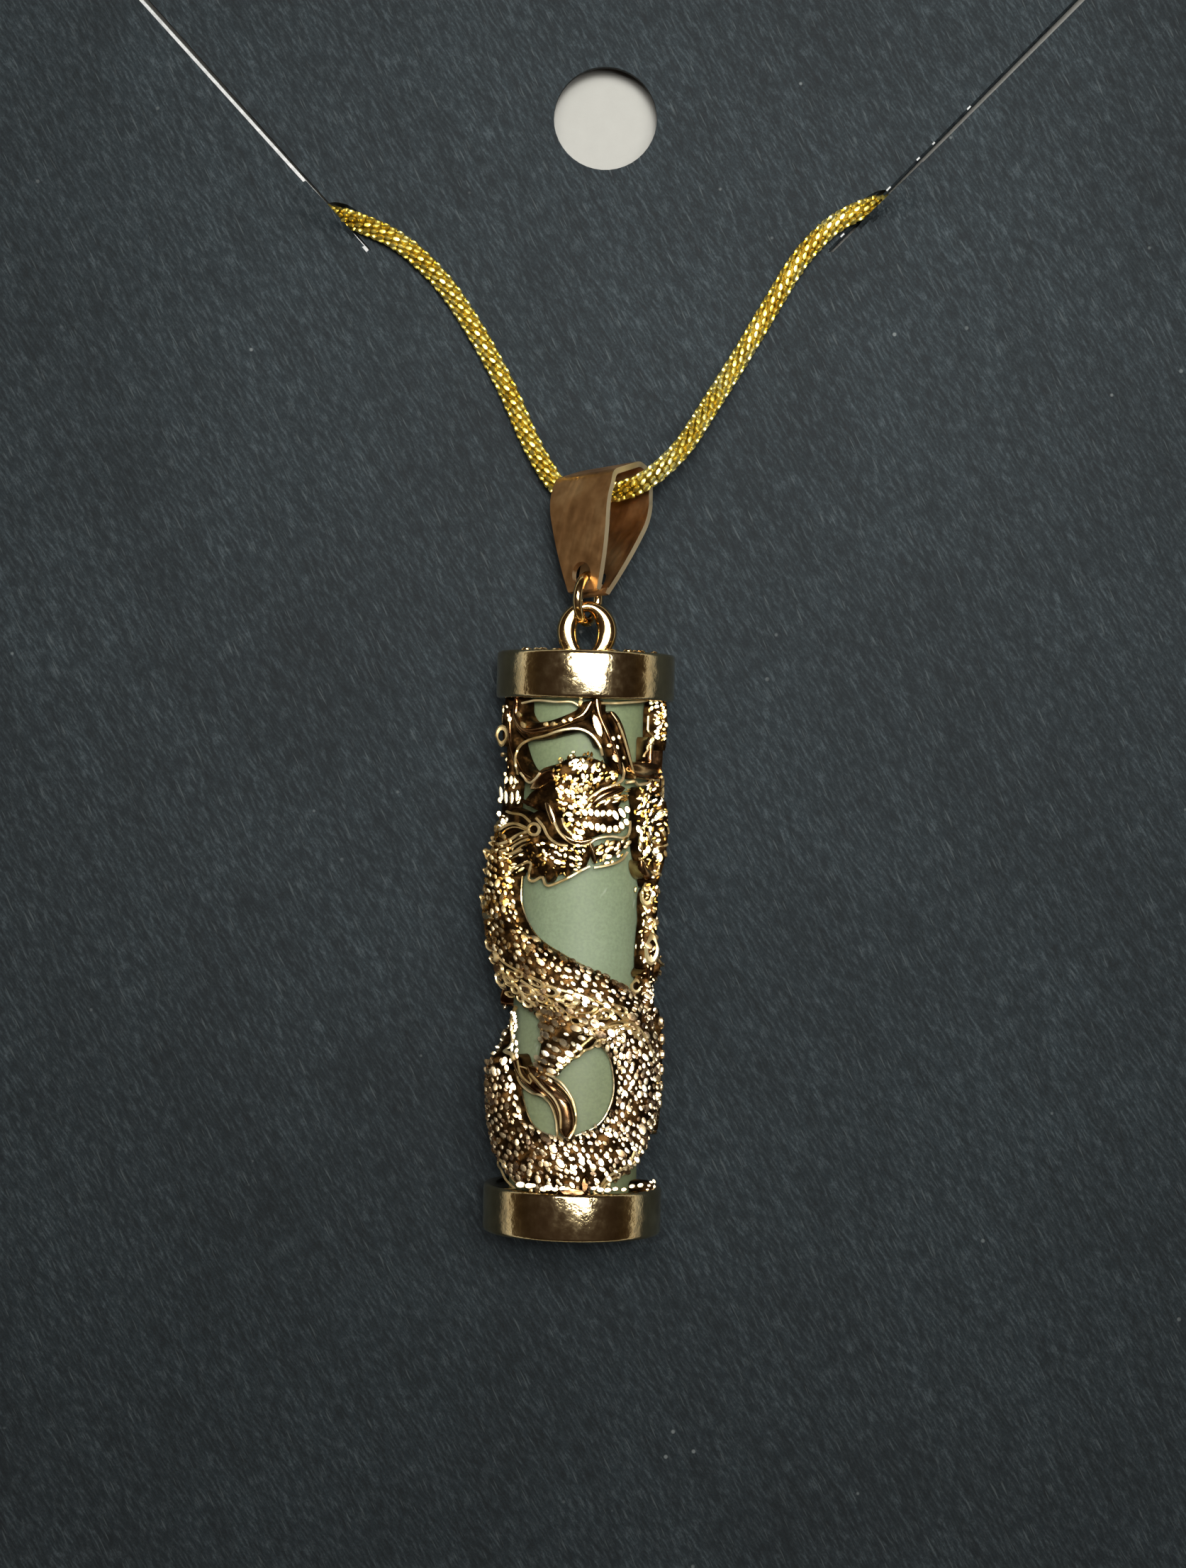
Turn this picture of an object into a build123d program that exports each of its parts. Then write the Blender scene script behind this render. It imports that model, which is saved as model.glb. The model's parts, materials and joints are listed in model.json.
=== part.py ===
from build123d import *
import os
from math import sin, cos, tan, radians, sqrt, pi

# A jade column pendant wrapped in a cast dragon, on a fine round chain that is threaded
# through the slits of a display card. The card lies flat, held up by the hidden part of
# the chain under it, and the pendant lies on top. X runs to the right, Y to the top edge
# of the card and Z away from the surface that everything rests on. Lengths in millimetres.

# Display card
CARD_WIDTH = 100.0
CARD_LENGTH = 138.0
CARD_THICKNESS = 0.5
CARD_CORNER_RADIUS = 3.0
HANG_HOLE_RADIUS = 3.25
HANG_HOLE_FROM_TOP = 10.0
SLIT_WIDTH_INSIDE = 0.3
SLIT_WIDTH_AT_EDGE = 0.55

CUT_MARGIN = 0.5

# Inner end of each slit, from the centre of the hang hole, and its lean from the upright
SLITS = [
    # across, below, lean_deg
    (-14.9, 8.3, -41.8),
    (14.2, 8.4, 44.8),
]

# Chain and clasp
CHAIN_DIAMETER = 1.5
CHAIN_LAY_GAP = 0.15
SLOT_CLEARANCE = 0.1
BEND_SHARE = 0.45
CLASP_RING_RADIUS = 2.3
CLASP_WIRE_RADIUS = 0.6
CLASP_LOOP_RADIUS = 1.0
CLASP_LOOP_WIRE_RADIUS = 0.4
CLASP_END_LENGTH = 2.2
CLASP_FROM_BOTTOM = 4.6
CLASP_CHAIN_GAP = 0.05

# Pendant: the jade column between its two end caps
PENDANT_LENGTH = 35.4
PENDANT_CENTRE_X = -1.65
PENDANT_BELOW_HOLE = 51.6
PENDANT_TILT = 1.5
PENDANT_LAY_GAP = 0.08
CAP_RADIUS = 5.45
CAP_HEIGHT = 2.9
CAP_EDGE_RADIUS = 0.25
JADE_RADIUS = 3.9
JADE_CHAMFER = 0.2
JADE_SEAT_DEPTH = 1.5
SEAT_GAP = 0.08

# Eye cast on the top cap
EYE_WIDTH = 3.7
EYE_HEIGHT = 3.2
EYE_THICKNESS = 1.05
EYE_HOLE_WIDTH = 1.3
EYE_TOP_LIMB = 0.65
EYE_SHOULDER_RADIUS = 1.55
EYE_ROUNDING = 0.28
EYE_FOOT_DEPTH = 0.4

# Ring that links the eye to the bail
LINK_RING_RADIUS = 1.42
LINK_WIRE_RADIUS = 0.3
LINK_ABOVE_EYE_LIMB = 0.45
LINK_TURN = 26.0

# Bail: a folded leaf of sheet, turned on the link ring
BAIL_SHEET = 0.35
BAIL_LENGTH = 8.6
BAIL_DEPTH = 4.3
BAIL_WIDTH = 4.8
BAIL_TOP_WIDTH = 4.5
BAIL_WIDEST_HEIGHT = 6.2
BAIL_SHOULDER_WIDTH = 4.2
BAIL_SHOULDER_HEIGHT = 3.6
BAIL_FOOT_WIDTH = 2.3
BAIL_FOOT_LIFT = 0.35
BAIL_HOLE_RADIUS = 0.74
BAIL_HOLE_HEIGHT = 1.3
BAIL_TURN = 42.0
BAIL_LEAN_BACK = 15.0
BAIL_TILT = 8.0

# Side view of the folded strip, from the foot behind, over the chain, to the foot in front
BAIL_SECTION = [
    # depth and height as shares of half the depth and of the length, bend as a share of the depth
    (-0.28, 0.0, 0.0),
    (-1.0, 0.61, 0.9),
    (-0.9, 0.83, 0.2),
    (0.2, 1.0, 0.2),
    (0.82, 0.98, 0.22),
    (1.0, 0.61, 0.9),
    (0.28, 0.0, 0.0),
]

# Dragon: pierced relief that stands round the jade
DRAGON_JADE_GAP = 0.1
DRAGON_CAP_GAP = 0.06
DRAGON_EDGE_RISE = 0.55
DRAGON_FULL_RISE = 1.55
DRAGON_BODY_HALF_WIDTH = 1.7
DRAGON_COLUMNS = 60
DRAGON_ROW_HEIGHT = 0.5
DRAGON_END_MARGIN = 0.1
CURVE_STEPS = 4
NEAREST_CROSSING = 0.15

# Strokes of the relief, chosen by eye. Each has a name, its half width as a share of the
# body's half width, its height as a share of the full rise, and its centre line: degrees
# round the column from the front, to the right, and level between the caps, 0 to 1.
DRAGON_STROKES = [
    # name, half_width, rise, [(degrees, level), ...]
    ("neck", 0.95, 1.25, [(-62, 0.70), (-72, 0.64), (-73, 0.56)]),
    ("front_body", 1.12, 1.0, [(-73, 0.56), (-51, 0.468), (-19, 0.416), (10, 0.383), (35, 0.347)]),
    ("right_body", 0.97, 0.95, [(35, 0.347), (49, 0.285), (52, 0.19), (37, 0.10), (10, 0.045)]),
    ("low_body", 0.9, 0.95, [(10, 0.045), (-20, 0.04), (-52, 0.08), (-65, 0.17), (-70, 0.25)]),
    ("back_body", 0.8, 0.78, [(-70, 0.25), (-105, 0.33), (-145, 0.36), (-185, 0.36), (-225, 0.40),
                              (-262, 0.46)]),
    ("tail", 0.5, 0.9, [(98, 0.44), (74, 0.48), (63, 0.55), (61, 0.64)]),
    ("tail_fin", 0.62, 1.0, [(61, 0.64), (59, 0.73), (60, 0.81)]),
    ("skull", 0.95, 1.15, [(-18, 0.80), (2, 0.83), (20, 0.835)]),
    ("snout", 0.5, 1.1, [(12, 0.83), (24, 0.815)]),
    ("cheek", 0.95, 1.05, [(-36, 0.79), (-20, 0.745)]),
    ("mouth_floor", 0.72, 0.45, [(-4, 0.755), (18, 0.752)]),
    ("lower_jaw", 0.36, 1.1, [(-16, 0.74), (-4, 0.708), (23, 0.706)]),
    ("mane_high", 0.42, 0.95, [(-34, 0.80), (-52, 0.785), (-72, 0.79)]),
    ("mane_mid", 0.42, 0.95, [(-30, 0.745), (-50, 0.74), (-74, 0.735)]),
    ("mane_low", 0.5, 0.95, [(-26, 0.70), (-48, 0.69), (-72, 0.69)]),
    ("beard", 0.75, 1.0, [(-48, 0.685), (-28, 0.675), (-8, 0.685)]),
    ("tongue", 0.3, 0.9, [(-4, 0.69), (9, 0.672), (26, 0.692)]),
    ("left_column", 0.38, 0.85, [(-74, 0.79), (-66, 0.86), (-72, 0.93), (-74, 1.0)]),
    ("cloud_outer", 0.24, 0.8, [(-60, 0.99), (-60, 0.93), (-58, 0.865), (-45, 0.825), (-30, 0.80)]),
    ("cloud_inner", 0.27, 0.85, [(-47, 1.0), (-45, 0.955), (-24, 0.936), (-5, 0.945), (3, 1.0)]),
    ("stem", 0.34, 0.9, [(3, 1.0), (12, 0.938), (22, 0.877), (30, 0.835)]),
    ("branch", 0.26, 0.8, [(24, 0.865), (48, 0.852), (72, 0.84)]),
    ("right_knot", 0.5, 0.95, [(66, 1.0), (67, 0.93)]),
    ("right_bar", 0.22, 0.85, [(62, 0.94), (62, 0.85)]),
    ("thigh", 0.7, 1.12, [(6, 0.375), (-6, 0.315)]),
    ("knee", 0.52, 1.05, [(-6, 0.315), (-18, 0.245)]),
    ("claw", 0.26, 0.95, [(-31, 0.235), (-14, 0.209), (-4, 0.17), (-7, 0.085)]),
    ("left_bar", 0.2, 0.75, [(-48, 0.40), (-50, 0.31), (-45, 0.23)]),
    ("foot_row", 0.22, 0.75, [(-60, 0.0), (-20, 0.0), (20, 0.0), (60, 0.0)]),
    ("right_foot", 0.3, 0.8, [(58, 0.0), (60, 0.09), (56, 0.16)]),
    ("back_cloud_low", 0.42, 0.72, [(-68, 0.17), (-100, 0.12), (-140, 0.10), (-170, 0.0)]),
    ("back_cloud_right", 0.42, 0.72, [(190, 0.0), (165, 0.11), (120, 0.14), (85, 0.12), (58, 0.16)]),
    ("back_leg", 0.5, 0.75, [(-150, 0.36), (-160, 0.27), (-145, 0.19), (-140, 0.10)]),
    ("back_arm", 0.5, 0.75, [(172, 0.36), (160, 0.26), (140, 0.22), (120, 0.14)]),
    ("back_mane", 0.5, 0.75, [(-74, 0.74), (-100, 0.73), (-130, 0.66), (-150, 0.56)]),
    ("back_cloud_mid", 0.38, 0.7, [(-150, 0.56), (-130, 0.47), (-112, 0.36)]),
    ("back_spiral", 0.4, 0.72, [(-150, 0.56), (175, 0.60), (140, 0.66), (105, 0.70), (66, 0.70)]),
    ("back_cloud_high", 0.36, 0.7, [(-110, 0.73), (-120, 0.84), (-150, 0.91), (175, 0.88), (140, 0.83),
                                    (105, 0.82), (72, 0.80)]),
    ("back_post", 0.36, 0.7, [(-165, 0.90), (-170, 1.0)]),
    ("side_post", 0.3, 0.7, [(112, 0.82), (108, 0.91), (112, 1.0)]),
]

# Worked out from the sizes above
CHAIN_RADIUS = CHAIN_DIAMETER / 2
CARD_UNDERSIDE = CHAIN_DIAMETER + CHAIN_LAY_GAP
CARD_TOP = CARD_UNDERSIDE + CARD_THICKNESS
TOP_EDGE_Y = CARD_LENGTH / 2
HOLE_Y = TOP_EDGE_Y - HANG_HOLE_FROM_TOP
UNDER = CHAIN_RADIUS
OVER = CARD_TOP + CHAIN_LAY_GAP + CHAIN_RADIUS
COLUMN_SPAN = PENDANT_LENGTH - 2 * CAP_HEIGHT
PENDANT_CENTRE = (PENDANT_CENTRE_X, HOLE_Y - PENDANT_BELOW_HOLE, CARD_TOP + PENDANT_LAY_GAP + CAP_RADIUS)
PENDANT_PLACE = Location(PENDANT_CENTRE) * Rotation(0, 0, -PENDANT_TILT) * Rotation(-90, 0, 0)
LINK_CENTRE = PENDANT_LENGTH / 2 + EYE_HEIGHT - EYE_TOP_LIMB / 2 + LINK_ABOVE_EYE_LIMB
LINK_POINT = (PENDANT_PLACE * Location((0, 0, LINK_CENTRE))).position
LINK_PLACE = (Location(LINK_POINT) * Rotation(0, 0, -BAIL_TILT)
              * Rotation(-90 - BAIL_LEAN_BACK / 2, 0, 0) * Rotation(0, 0, -LINK_TURN))
BAIL_PLACE = (Location(LINK_POINT) * Rotation(0, 0, -BAIL_TILT)
              * Rotation(-90 - BAIL_LEAN_BACK, 0, 0) * Rotation(0, 0, -BAIL_TURN))
CLASP_Y = -CARD_LENGTH / 2 + CLASP_FROM_BOTTOM
CLASP_LENGTH = 2 * (CLASP_RING_RADIUS + CLASP_LOOP_RADIUS + CLASP_END_LENGTH)
CHAIN_END_X = CLASP_LENGTH / 2 + CLASP_CHAIN_GAP
CLASP_BELOW = HOLE_Y - CLASP_Y
TINY = 0.01

# Route of the chain, a few points chosen by eye, from the left end of the clasp round
# under the card, up through the left slit, through the bail and back the same way.
CHAIN_POINTS = [
    # across, below the hang hole, height of the chain's centre
    (-CHAIN_END_X, CLASP_BELOW, UNDER),
    (-12.5, CLASP_BELOW, UNDER),
    (-21.0, 123.0, UNDER),
    (-31.0, 121.0, UNDER),
    (-40.0, 115.0, UNDER),
    (-45.0, 104.0, UNDER),
    (-46.6, 83.0, UNDER),
    (-46.9, 49.0, UNDER),
    (-46.2, 19.0, UNDER),
    (-43.4, 6.4, UNDER),
    (-36.6, 0.6, UNDER),
    (-27.4, 2.2, UNDER),
    (-18.2, 5.6, UNDER),
    (-15.6, 6.6, OVER),
    (-12.9, 7.8, OVER),
    (-10.2, 10.3, OVER),
    (-8.1, 13.5, OVER),
    (-6.1, 17.2, OVER + 0.1),
    (-4.6, 20.8, OVER + 0.2),
    (-2.6, 24.1, OVER + 0.7),
    (1.9, 23.85, OVER + 4.6),
    (4.6, 21.5, OVER + 3.5),
    (6.6, 18.2, OVER + 1.5),
    (8.4, 15.3, OVER + 0.4),
    (10.1, 12.4, OVER),
    (12.2, 8.9, OVER),
    (14.2, 6.8, OVER),
    (16.4, 5.7, OVER),
    (19.0, 4.9, UNDER),
    (28.4, 1.6, UNDER),
    (37.2, 0.4, UNDER),
    (43.9, 6.6, UNDER),
    (46.4, 19.4, UNDER),
    (46.9, 50.0, UNDER),
    (46.5, 84.0, UNDER),
    (44.8, 105.0, UNDER),
    (39.6, 115.4, UNDER),
    (30.6, 121.2, UNDER),
    (20.6, 123.1, UNDER),
    (12.5, CLASP_BELOW, UNDER),
    (CHAIN_END_X, CLASP_BELOW, UNDER),
]
CHAIN_ROUTE = [(across, HOLE_Y - below, height) for across, below, height in CHAIN_POINTS]
LEFT_CROSSING = (11, 16)
RIGHT_CROSSING = (25, 30)


def bend_radii(points):
    """The radius at each corner of a route, as large as its two runs allow."""
    radii = []
    for before, corner, after in zip(points, points[1:], points[2:]):
        run_in = Vector(*corner) - Vector(*before)
        run_out = Vector(*after) - Vector(*corner)
        half_turn = radians(run_in.get_angle(run_out)) / 2
        radii.append(BEND_SHARE * min(run_in.length, run_out.length) / tan(half_turn))
    return radii


def route_path(points):
    """Straight runs joined by tangent arcs."""
    return FilletPolyline(*points, radius=bend_radii(points))


def tube(points, radius):
    """A round tube along a route."""
    path = route_path(points)
    start = Plane(origin=path @ 0, z_dir=path % 0)
    return sweep(start * Circle(radius), path=path)


def make_card():
    card = Pos(0, 0, CARD_UNDERSIDE + CARD_THICKNESS / 2) * Box(CARD_WIDTH, CARD_LENGTH, CARD_THICKNESS)
    card = fillet(card.edges().filter_by(Axis.Z), CARD_CORNER_RADIUS)
    card -= Pos(0, HOLE_Y, CARD_TOP) * Cylinder(HANG_HOLE_RADIUS, 4 * CARD_THICKNESS)
    for across, below, lean in SLITS:
        inner_y = HOLE_Y - below
        rise = TOP_EDGE_Y - inner_y + CUT_MARGIN
        edge_x = across + rise * tan(radians(lean))
        slit = Polygon(
            (across - SLIT_WIDTH_INSIDE / 2, inner_y),
            (across + SLIT_WIDTH_INSIDE / 2, inner_y),
            (edge_x + SLIT_WIDTH_AT_EDGE / 2, inner_y + rise),
            (edge_x - SLIT_WIDTH_AT_EDGE / 2, inner_y + rise),
            align=None,
        )
        card -= Pos(0, 0, CARD_UNDERSIDE - CUT_MARGIN) * extrude(slit, CARD_THICKNESS + 2 * CUT_MARGIN)
    for first, last in (LEFT_CROSSING, RIGHT_CROSSING):
        card -= tube(CHAIN_ROUTE[first:last], CHAIN_RADIUS + SLOT_CLEARANCE)
    return card


def make_chain():
    print("chain length", round(route_path(CHAIN_ROUTE).length, 1))
    return tube(CHAIN_ROUTE, CHAIN_RADIUS)


def make_clasp():
    """A plain spring ring with its tag loop and the two ends that hold the chain."""
    ring_x = CLASP_RING_RADIUS + CLASP_END_LENGTH - CLASP_LENGTH / 2
    loop_x = CLASP_LENGTH / 2 - CLASP_END_LENGTH - CLASP_LOOP_RADIUS
    end_x = (CLASP_LENGTH - CLASP_END_LENGTH) / 2
    clasp = Pos(ring_x, 0, 0) * Torus(CLASP_RING_RADIUS, CLASP_WIRE_RADIUS)
    clasp += Pos(loop_x, 0, 0) * Torus(CLASP_LOOP_RADIUS, CLASP_LOOP_WIRE_RADIUS)
    for side in (-1, 1):
        clasp += Pos(side * end_x, 0, 0) * Rotation(0, 90, 0) * Cylinder(CHAIN_RADIUS, CLASP_END_LENGTH)
    return Pos(0, CLASP_Y, UNDER) * clasp


def make_jade():
    height = COLUMN_SPAN + 2 * (JADE_SEAT_DEPTH - SEAT_GAP)
    jade = Cylinder(JADE_RADIUS, height)
    return PENDANT_PLACE * chamfer(jade.edges(), JADE_CHAMFER)


def make_cap():
    """An end cap with its seat for the jade, its open side down and its middle at zero."""
    cap = fillet(Cylinder(CAP_RADIUS, CAP_HEIGHT).edges(), CAP_EDGE_RADIUS)
    seat = Cylinder(JADE_RADIUS + SEAT_GAP, JADE_SEAT_DEPTH)
    return cap - Pos(0, 0, (JADE_SEAT_DEPTH - CAP_HEIGHT) / 2) * seat


def make_eye():
    """A rounded plate with an oval hole that stands on the top cap, facing the front."""
    height = EYE_HEIGHT + EYE_FOOT_DEPTH
    hole_height = EYE_HEIGHT - EYE_TOP_LIMB
    body = Rectangle(EYE_WIDTH, height)
    body = fillet(body.vertices().group_by(Axis.Y)[-1], EYE_SHOULDER_RADIUS)
    hole = SlotOverall(hole_height, EYE_HOLE_WIDTH, rotation=90)
    middle = (EYE_HEIGHT - EYE_FOOT_DEPTH) / 2
    flat = Pos(0, middle) * body - Pos(0, hole_height / 2) * hole
    plate = extrude(Plane.XZ * flat, EYE_THICKNESS / 2, both=True)
    rims = [edge for edge in plate.edges() if edge.center().Z > TINY and abs(edge.center().Y) > TINY]
    return fillet(rims, EYE_ROUNDING)


def make_top_cap():
    cap = Pos(0, 0, (PENDANT_LENGTH - CAP_HEIGHT) / 2) * make_cap()
    return PENDANT_PLACE * (cap + Pos(0, 0, PENDANT_LENGTH / 2) * make_eye())


def make_bottom_cap():
    return PENDANT_PLACE * Pos(0, 0, (CAP_HEIGHT - PENDANT_LENGTH) / 2) * Rotation(180, 0, 0) * make_cap()


def make_link_ring():
    return LINK_PLACE * Rotation(0, 90, 0) * Torus(LINK_RING_RADIUS, LINK_WIRE_RADIUS)


def make_bail():
    """A strip folded over the chain, cut to a leaf on both sides and pierced at its feet."""
    foot = BAIL_FOOT_LIFT
    above = foot + BAIL_LENGTH + CUT_MARGIN
    corners = [(depth * BAIL_DEPTH / 2, foot + height * BAIL_LENGTH) for depth, height, bend in BAIL_SECTION]
    bends = [bend * BAIL_DEPTH for depth, height, bend in BAIL_SECTION[1:-1]]
    outside = FilletPolyline(*corners, radius=bends)
    solid_side = make_face(outside + Line(corners[-1], corners[0]))
    hollow_side = offset(solid_side, -BAIL_SHEET)
    opening = Pos(0, foot) * Rectangle(2 * corners[-1][0] - 2 * BAIL_SHEET, 4 * BAIL_SHEET)
    strip = extrude(Plane.YZ * (solid_side - hollow_side - opening), BAIL_WIDTH, both=True)
    leaf_edge = [(BAIL_FOOT_WIDTH / 2, foot), (BAIL_SHOULDER_WIDTH / 2, foot + BAIL_SHOULDER_HEIGHT),
                 (BAIL_WIDTH / 2, foot + BAIL_WIDEST_HEIGHT)]
    right = ThreePointArc(*leaf_edge)
    left = ThreePointArc(*[(-x, z) for x, z in leaf_edge])
    leaf = make_face(
        right + Polyline(leaf_edge[2], (BAIL_TOP_WIDTH / 2, above), (-BAIL_TOP_WIDTH / 2, above),
                         (-leaf_edge[2][0], leaf_edge[2][1]))
        + left + Line((-leaf_edge[0][0], foot), leaf_edge[0])
    )
    bail = strip & extrude(Plane.XZ * leaf, BAIL_DEPTH, both=True)
    bail -= Pos(0, 0, BAIL_HOLE_HEIGHT) * Rotation(90, 0, 0) * Cylinder(BAIL_HOLE_RADIUS, 2 * BAIL_DEPTH)
    return BAIL_PLACE * bail


def smooth_line(points, steps):
    """A curve through the points of a centre line, cut into short straight steps."""
    padded = [points[0]] + points + [points[-1]]
    line = [points[0]]
    for a, b, c, d in zip(padded, padded[1:], padded[2:], padded[3:]):
        for step in range(1, steps + 1):
            t = step / steps
            line.append(tuple(
                0.5 * (2 * q + (r - p) * t + (2 * p - 5 * q + 4 * r - s) * t * t
                       + (3 * q - p - 3 * r + s) * t ** 3)
                for p, q, r, s in zip(a, b, c, d)))
    return line


def relief_strokes():
    """The dragon's strokes laid out flat: distance round the column and height up it."""
    middle = JADE_RADIUS + DRAGON_JADE_GAP + DRAGON_EDGE_RISE
    strokes = []
    for name, half_width, rise, centre_line in DRAGON_STROKES:
        unbroken = [centre_line[0]]
        for degrees, level in centre_line[1:]:
            last = unbroken[-1][0]
            turn = (degrees - last + 180) % 360 - 180
            unbroken.append((last + turn, level))
        flat = [(radians(degrees) * middle, (level - 0.5) * COLUMN_SPAN)
                for degrees, level in smooth_line(unbroken, CURVE_STEPS)]
        strokes.append((half_width * DRAGON_BODY_HALF_WIDTH, rise * DRAGON_FULL_RISE, flat))
    return strokes, 2 * pi * middle


def distance_to_line(across, up, line, around):
    """Shortest way from a point of the flat layout to a centre line, either way round."""
    nearest = 1e9
    for (ax, ay), (bx, by) in zip(line, line[1:]):
        px = (across - ax + around / 2) % around - around / 2
        py = up - ay
        dx = bx - ax
        dy = by - ay
        along = max(0.0, min(1.0, (px * dx + py * dy) / (dx * dx + dy * dy)))
        nearest = min(nearest, (px - along * dx) ** 2 + (py - along * dy) ** 2)
    return sqrt(nearest)


def relief_at(across, up, strokes, around):
    """How far a point lies inside the dragon's outline, and how high the relief is there."""
    inside = -1e9
    rise = DRAGON_EDGE_RISE
    for half_width, full_rise, line in strokes:
        distance = distance_to_line(across, up, line, around)
        inside = max(inside, half_width - distance)
        if distance < half_width:
            dome = sqrt(1 - (distance / half_width) ** 2)
            rise = max(rise, DRAGON_EDGE_RISE + (full_rise - DRAGON_EDGE_RISE) * dome)
    end = COLUMN_SPAN / 2 - DRAGON_CAP_GAP
    return min(inside, end - abs(up)), rise


def make_dragon():
    """One closed faceted shell: the relief outside, the jade's hollow inside, pierced."""
    strokes, around = relief_strokes()
    rows = round(COLUMN_SPAN / DRAGON_ROW_HEIGHT)
    row_height = (COLUMN_SPAN + 2 * DRAGON_END_MARGIN) / rows
    inner_radius = JADE_RADIUS + DRAGON_JADE_GAP

    def flat_point(column, row):
        return column / DRAGON_COLUMNS * around, row * row_height - COLUMN_SPAN / 2 - DRAGON_END_MARGIN

    samples = {}
    for column in range(DRAGON_COLUMNS):
        for row in range(rows + 1):
            across, up = flat_point(column, row)
            samples[column, row] = relief_at(across, up, strokes, around)

    def at_radius(across, up, radius):
        turn = across / around * 2 * pi
        return (radius * sin(turn), -radius * cos(turn), up)

    def node_pair(column, row):
        across, up = flat_point(column, row)
        rise = samples[column % DRAGON_COLUMNS, row][1]
        return at_radius(across, up, inner_radius + rise), at_radius(across, up, inner_radius)

    def crossing_pair(first, second):
        first, second = sorted((first, second))
        inside_first = samples[first[0] % DRAGON_COLUMNS, first[1]][0]
        inside_second = samples[second[0] % DRAGON_COLUMNS, second[1]][0]
        share = inside_first / (inside_first - inside_second)
        share = min(1 - NEAREST_CROSSING, max(NEAREST_CROSSING, share))
        start = flat_point(*first)
        end = flat_point(*second)
        across = start[0] + share * (end[0] - start[0])
        up = start[1] + share * (end[1] - start[1])
        return at_radius(across, up, inner_radius + DRAGON_EDGE_RISE), at_radius(across, up, inner_radius)

    facets = []
    for column in range(DRAGON_COLUMNS):
        for row in range(rows):
            corners = [(column, row), (column + 1, row), (column + 1, row + 1), (column, row + 1)]
            within = [samples[c % DRAGON_COLUMNS, r][0] > 0 for c, r in corners]
            if not any(within):
                continue
            ring = []
            for k in range(4):
                following = (k + 1) % 4
                if within[k]:
                    ring.append((node_pair(*corners[k]), False))
                if within[k] != within[following]:
                    ring.append((crossing_pair(corners[k], corners[following]), True))
            for k in range(1, len(ring) - 1):
                facets.append([ring[0][0][0], ring[k][0][0], ring[k + 1][0][0]])
            if all(within):
                facets.append([pair[1] for pair, crossing in reversed(ring)])
            else:
                for k in range(1, len(ring) - 1):
                    facets.append([ring[0][0][1], ring[k + 1][0][1], ring[k][0][1]])
            for k, (pair, crossing) in enumerate(ring):
                next_pair, next_crossing = ring[(k + 1) % len(ring)]
                if crossing and next_crossing:
                    facets.append([pair[0], pair[1], next_pair[1]])
                    facets.append([pair[0], next_pair[1], next_pair[0]])
    faces = [Face(Wire.make_polygon(facet, close=True)) for facet in facets]
    print("dragon facets", len(faces))
    return PENDANT_PLACE * Solid(Shell(faces))


os.makedirs("parts", exist_ok=True)
PIECES = {
    "display_card": make_card,
    "chain": make_chain,
    "clasp": make_clasp,
    "bail": make_bail,
    "link_ring": make_link_ring,
    "top_cap": make_top_cap,
    "bottom_cap": make_bottom_cap,
    "jade_column": make_jade,
    "dragon": make_dragon,
}
for name, make in PIECES.items():
    piece = make()
    export_step(piece, f"parts/{name}.step")
    print(name, "volume", round(piece.volume, 2))
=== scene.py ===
# %% [markdown]
# # A jade dragon pendant on its display card
# The real thing is a round jade column held between two gold caps, wrapped in a pierced cast
# dragon, and hung by a folded bail on a fine snake chain. The chain is threaded through two
# slits of a dark fibre card. The solids that were built for this object are the fixed frame,
# and everything here is fitted round them, in metres and in the same place.

import json
import math
import random

import bmesh
import bpy
import numpy as np
from mathutils import Matrix, Vector

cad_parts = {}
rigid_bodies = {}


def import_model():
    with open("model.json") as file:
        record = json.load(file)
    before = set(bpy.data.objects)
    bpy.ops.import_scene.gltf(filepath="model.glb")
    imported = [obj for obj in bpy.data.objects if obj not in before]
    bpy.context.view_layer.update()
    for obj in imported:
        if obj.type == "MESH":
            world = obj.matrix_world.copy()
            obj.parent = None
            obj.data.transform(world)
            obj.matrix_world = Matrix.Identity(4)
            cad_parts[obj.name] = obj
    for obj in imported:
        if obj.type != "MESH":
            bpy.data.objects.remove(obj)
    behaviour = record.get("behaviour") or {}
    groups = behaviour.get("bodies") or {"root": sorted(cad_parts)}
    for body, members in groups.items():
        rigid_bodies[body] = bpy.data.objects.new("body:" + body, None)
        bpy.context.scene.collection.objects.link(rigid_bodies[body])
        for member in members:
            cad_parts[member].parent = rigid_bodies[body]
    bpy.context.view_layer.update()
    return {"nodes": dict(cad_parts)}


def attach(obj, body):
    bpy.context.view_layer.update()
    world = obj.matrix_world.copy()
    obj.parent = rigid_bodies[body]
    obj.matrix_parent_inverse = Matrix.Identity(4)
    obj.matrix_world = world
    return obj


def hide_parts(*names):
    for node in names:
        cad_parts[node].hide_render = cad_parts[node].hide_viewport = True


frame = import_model()
MM = 0.001
bpy.ops.object.select_all(action="DESELECT")
print("frame nodes:", ", ".join(sorted(frame["nodes"])))
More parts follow.
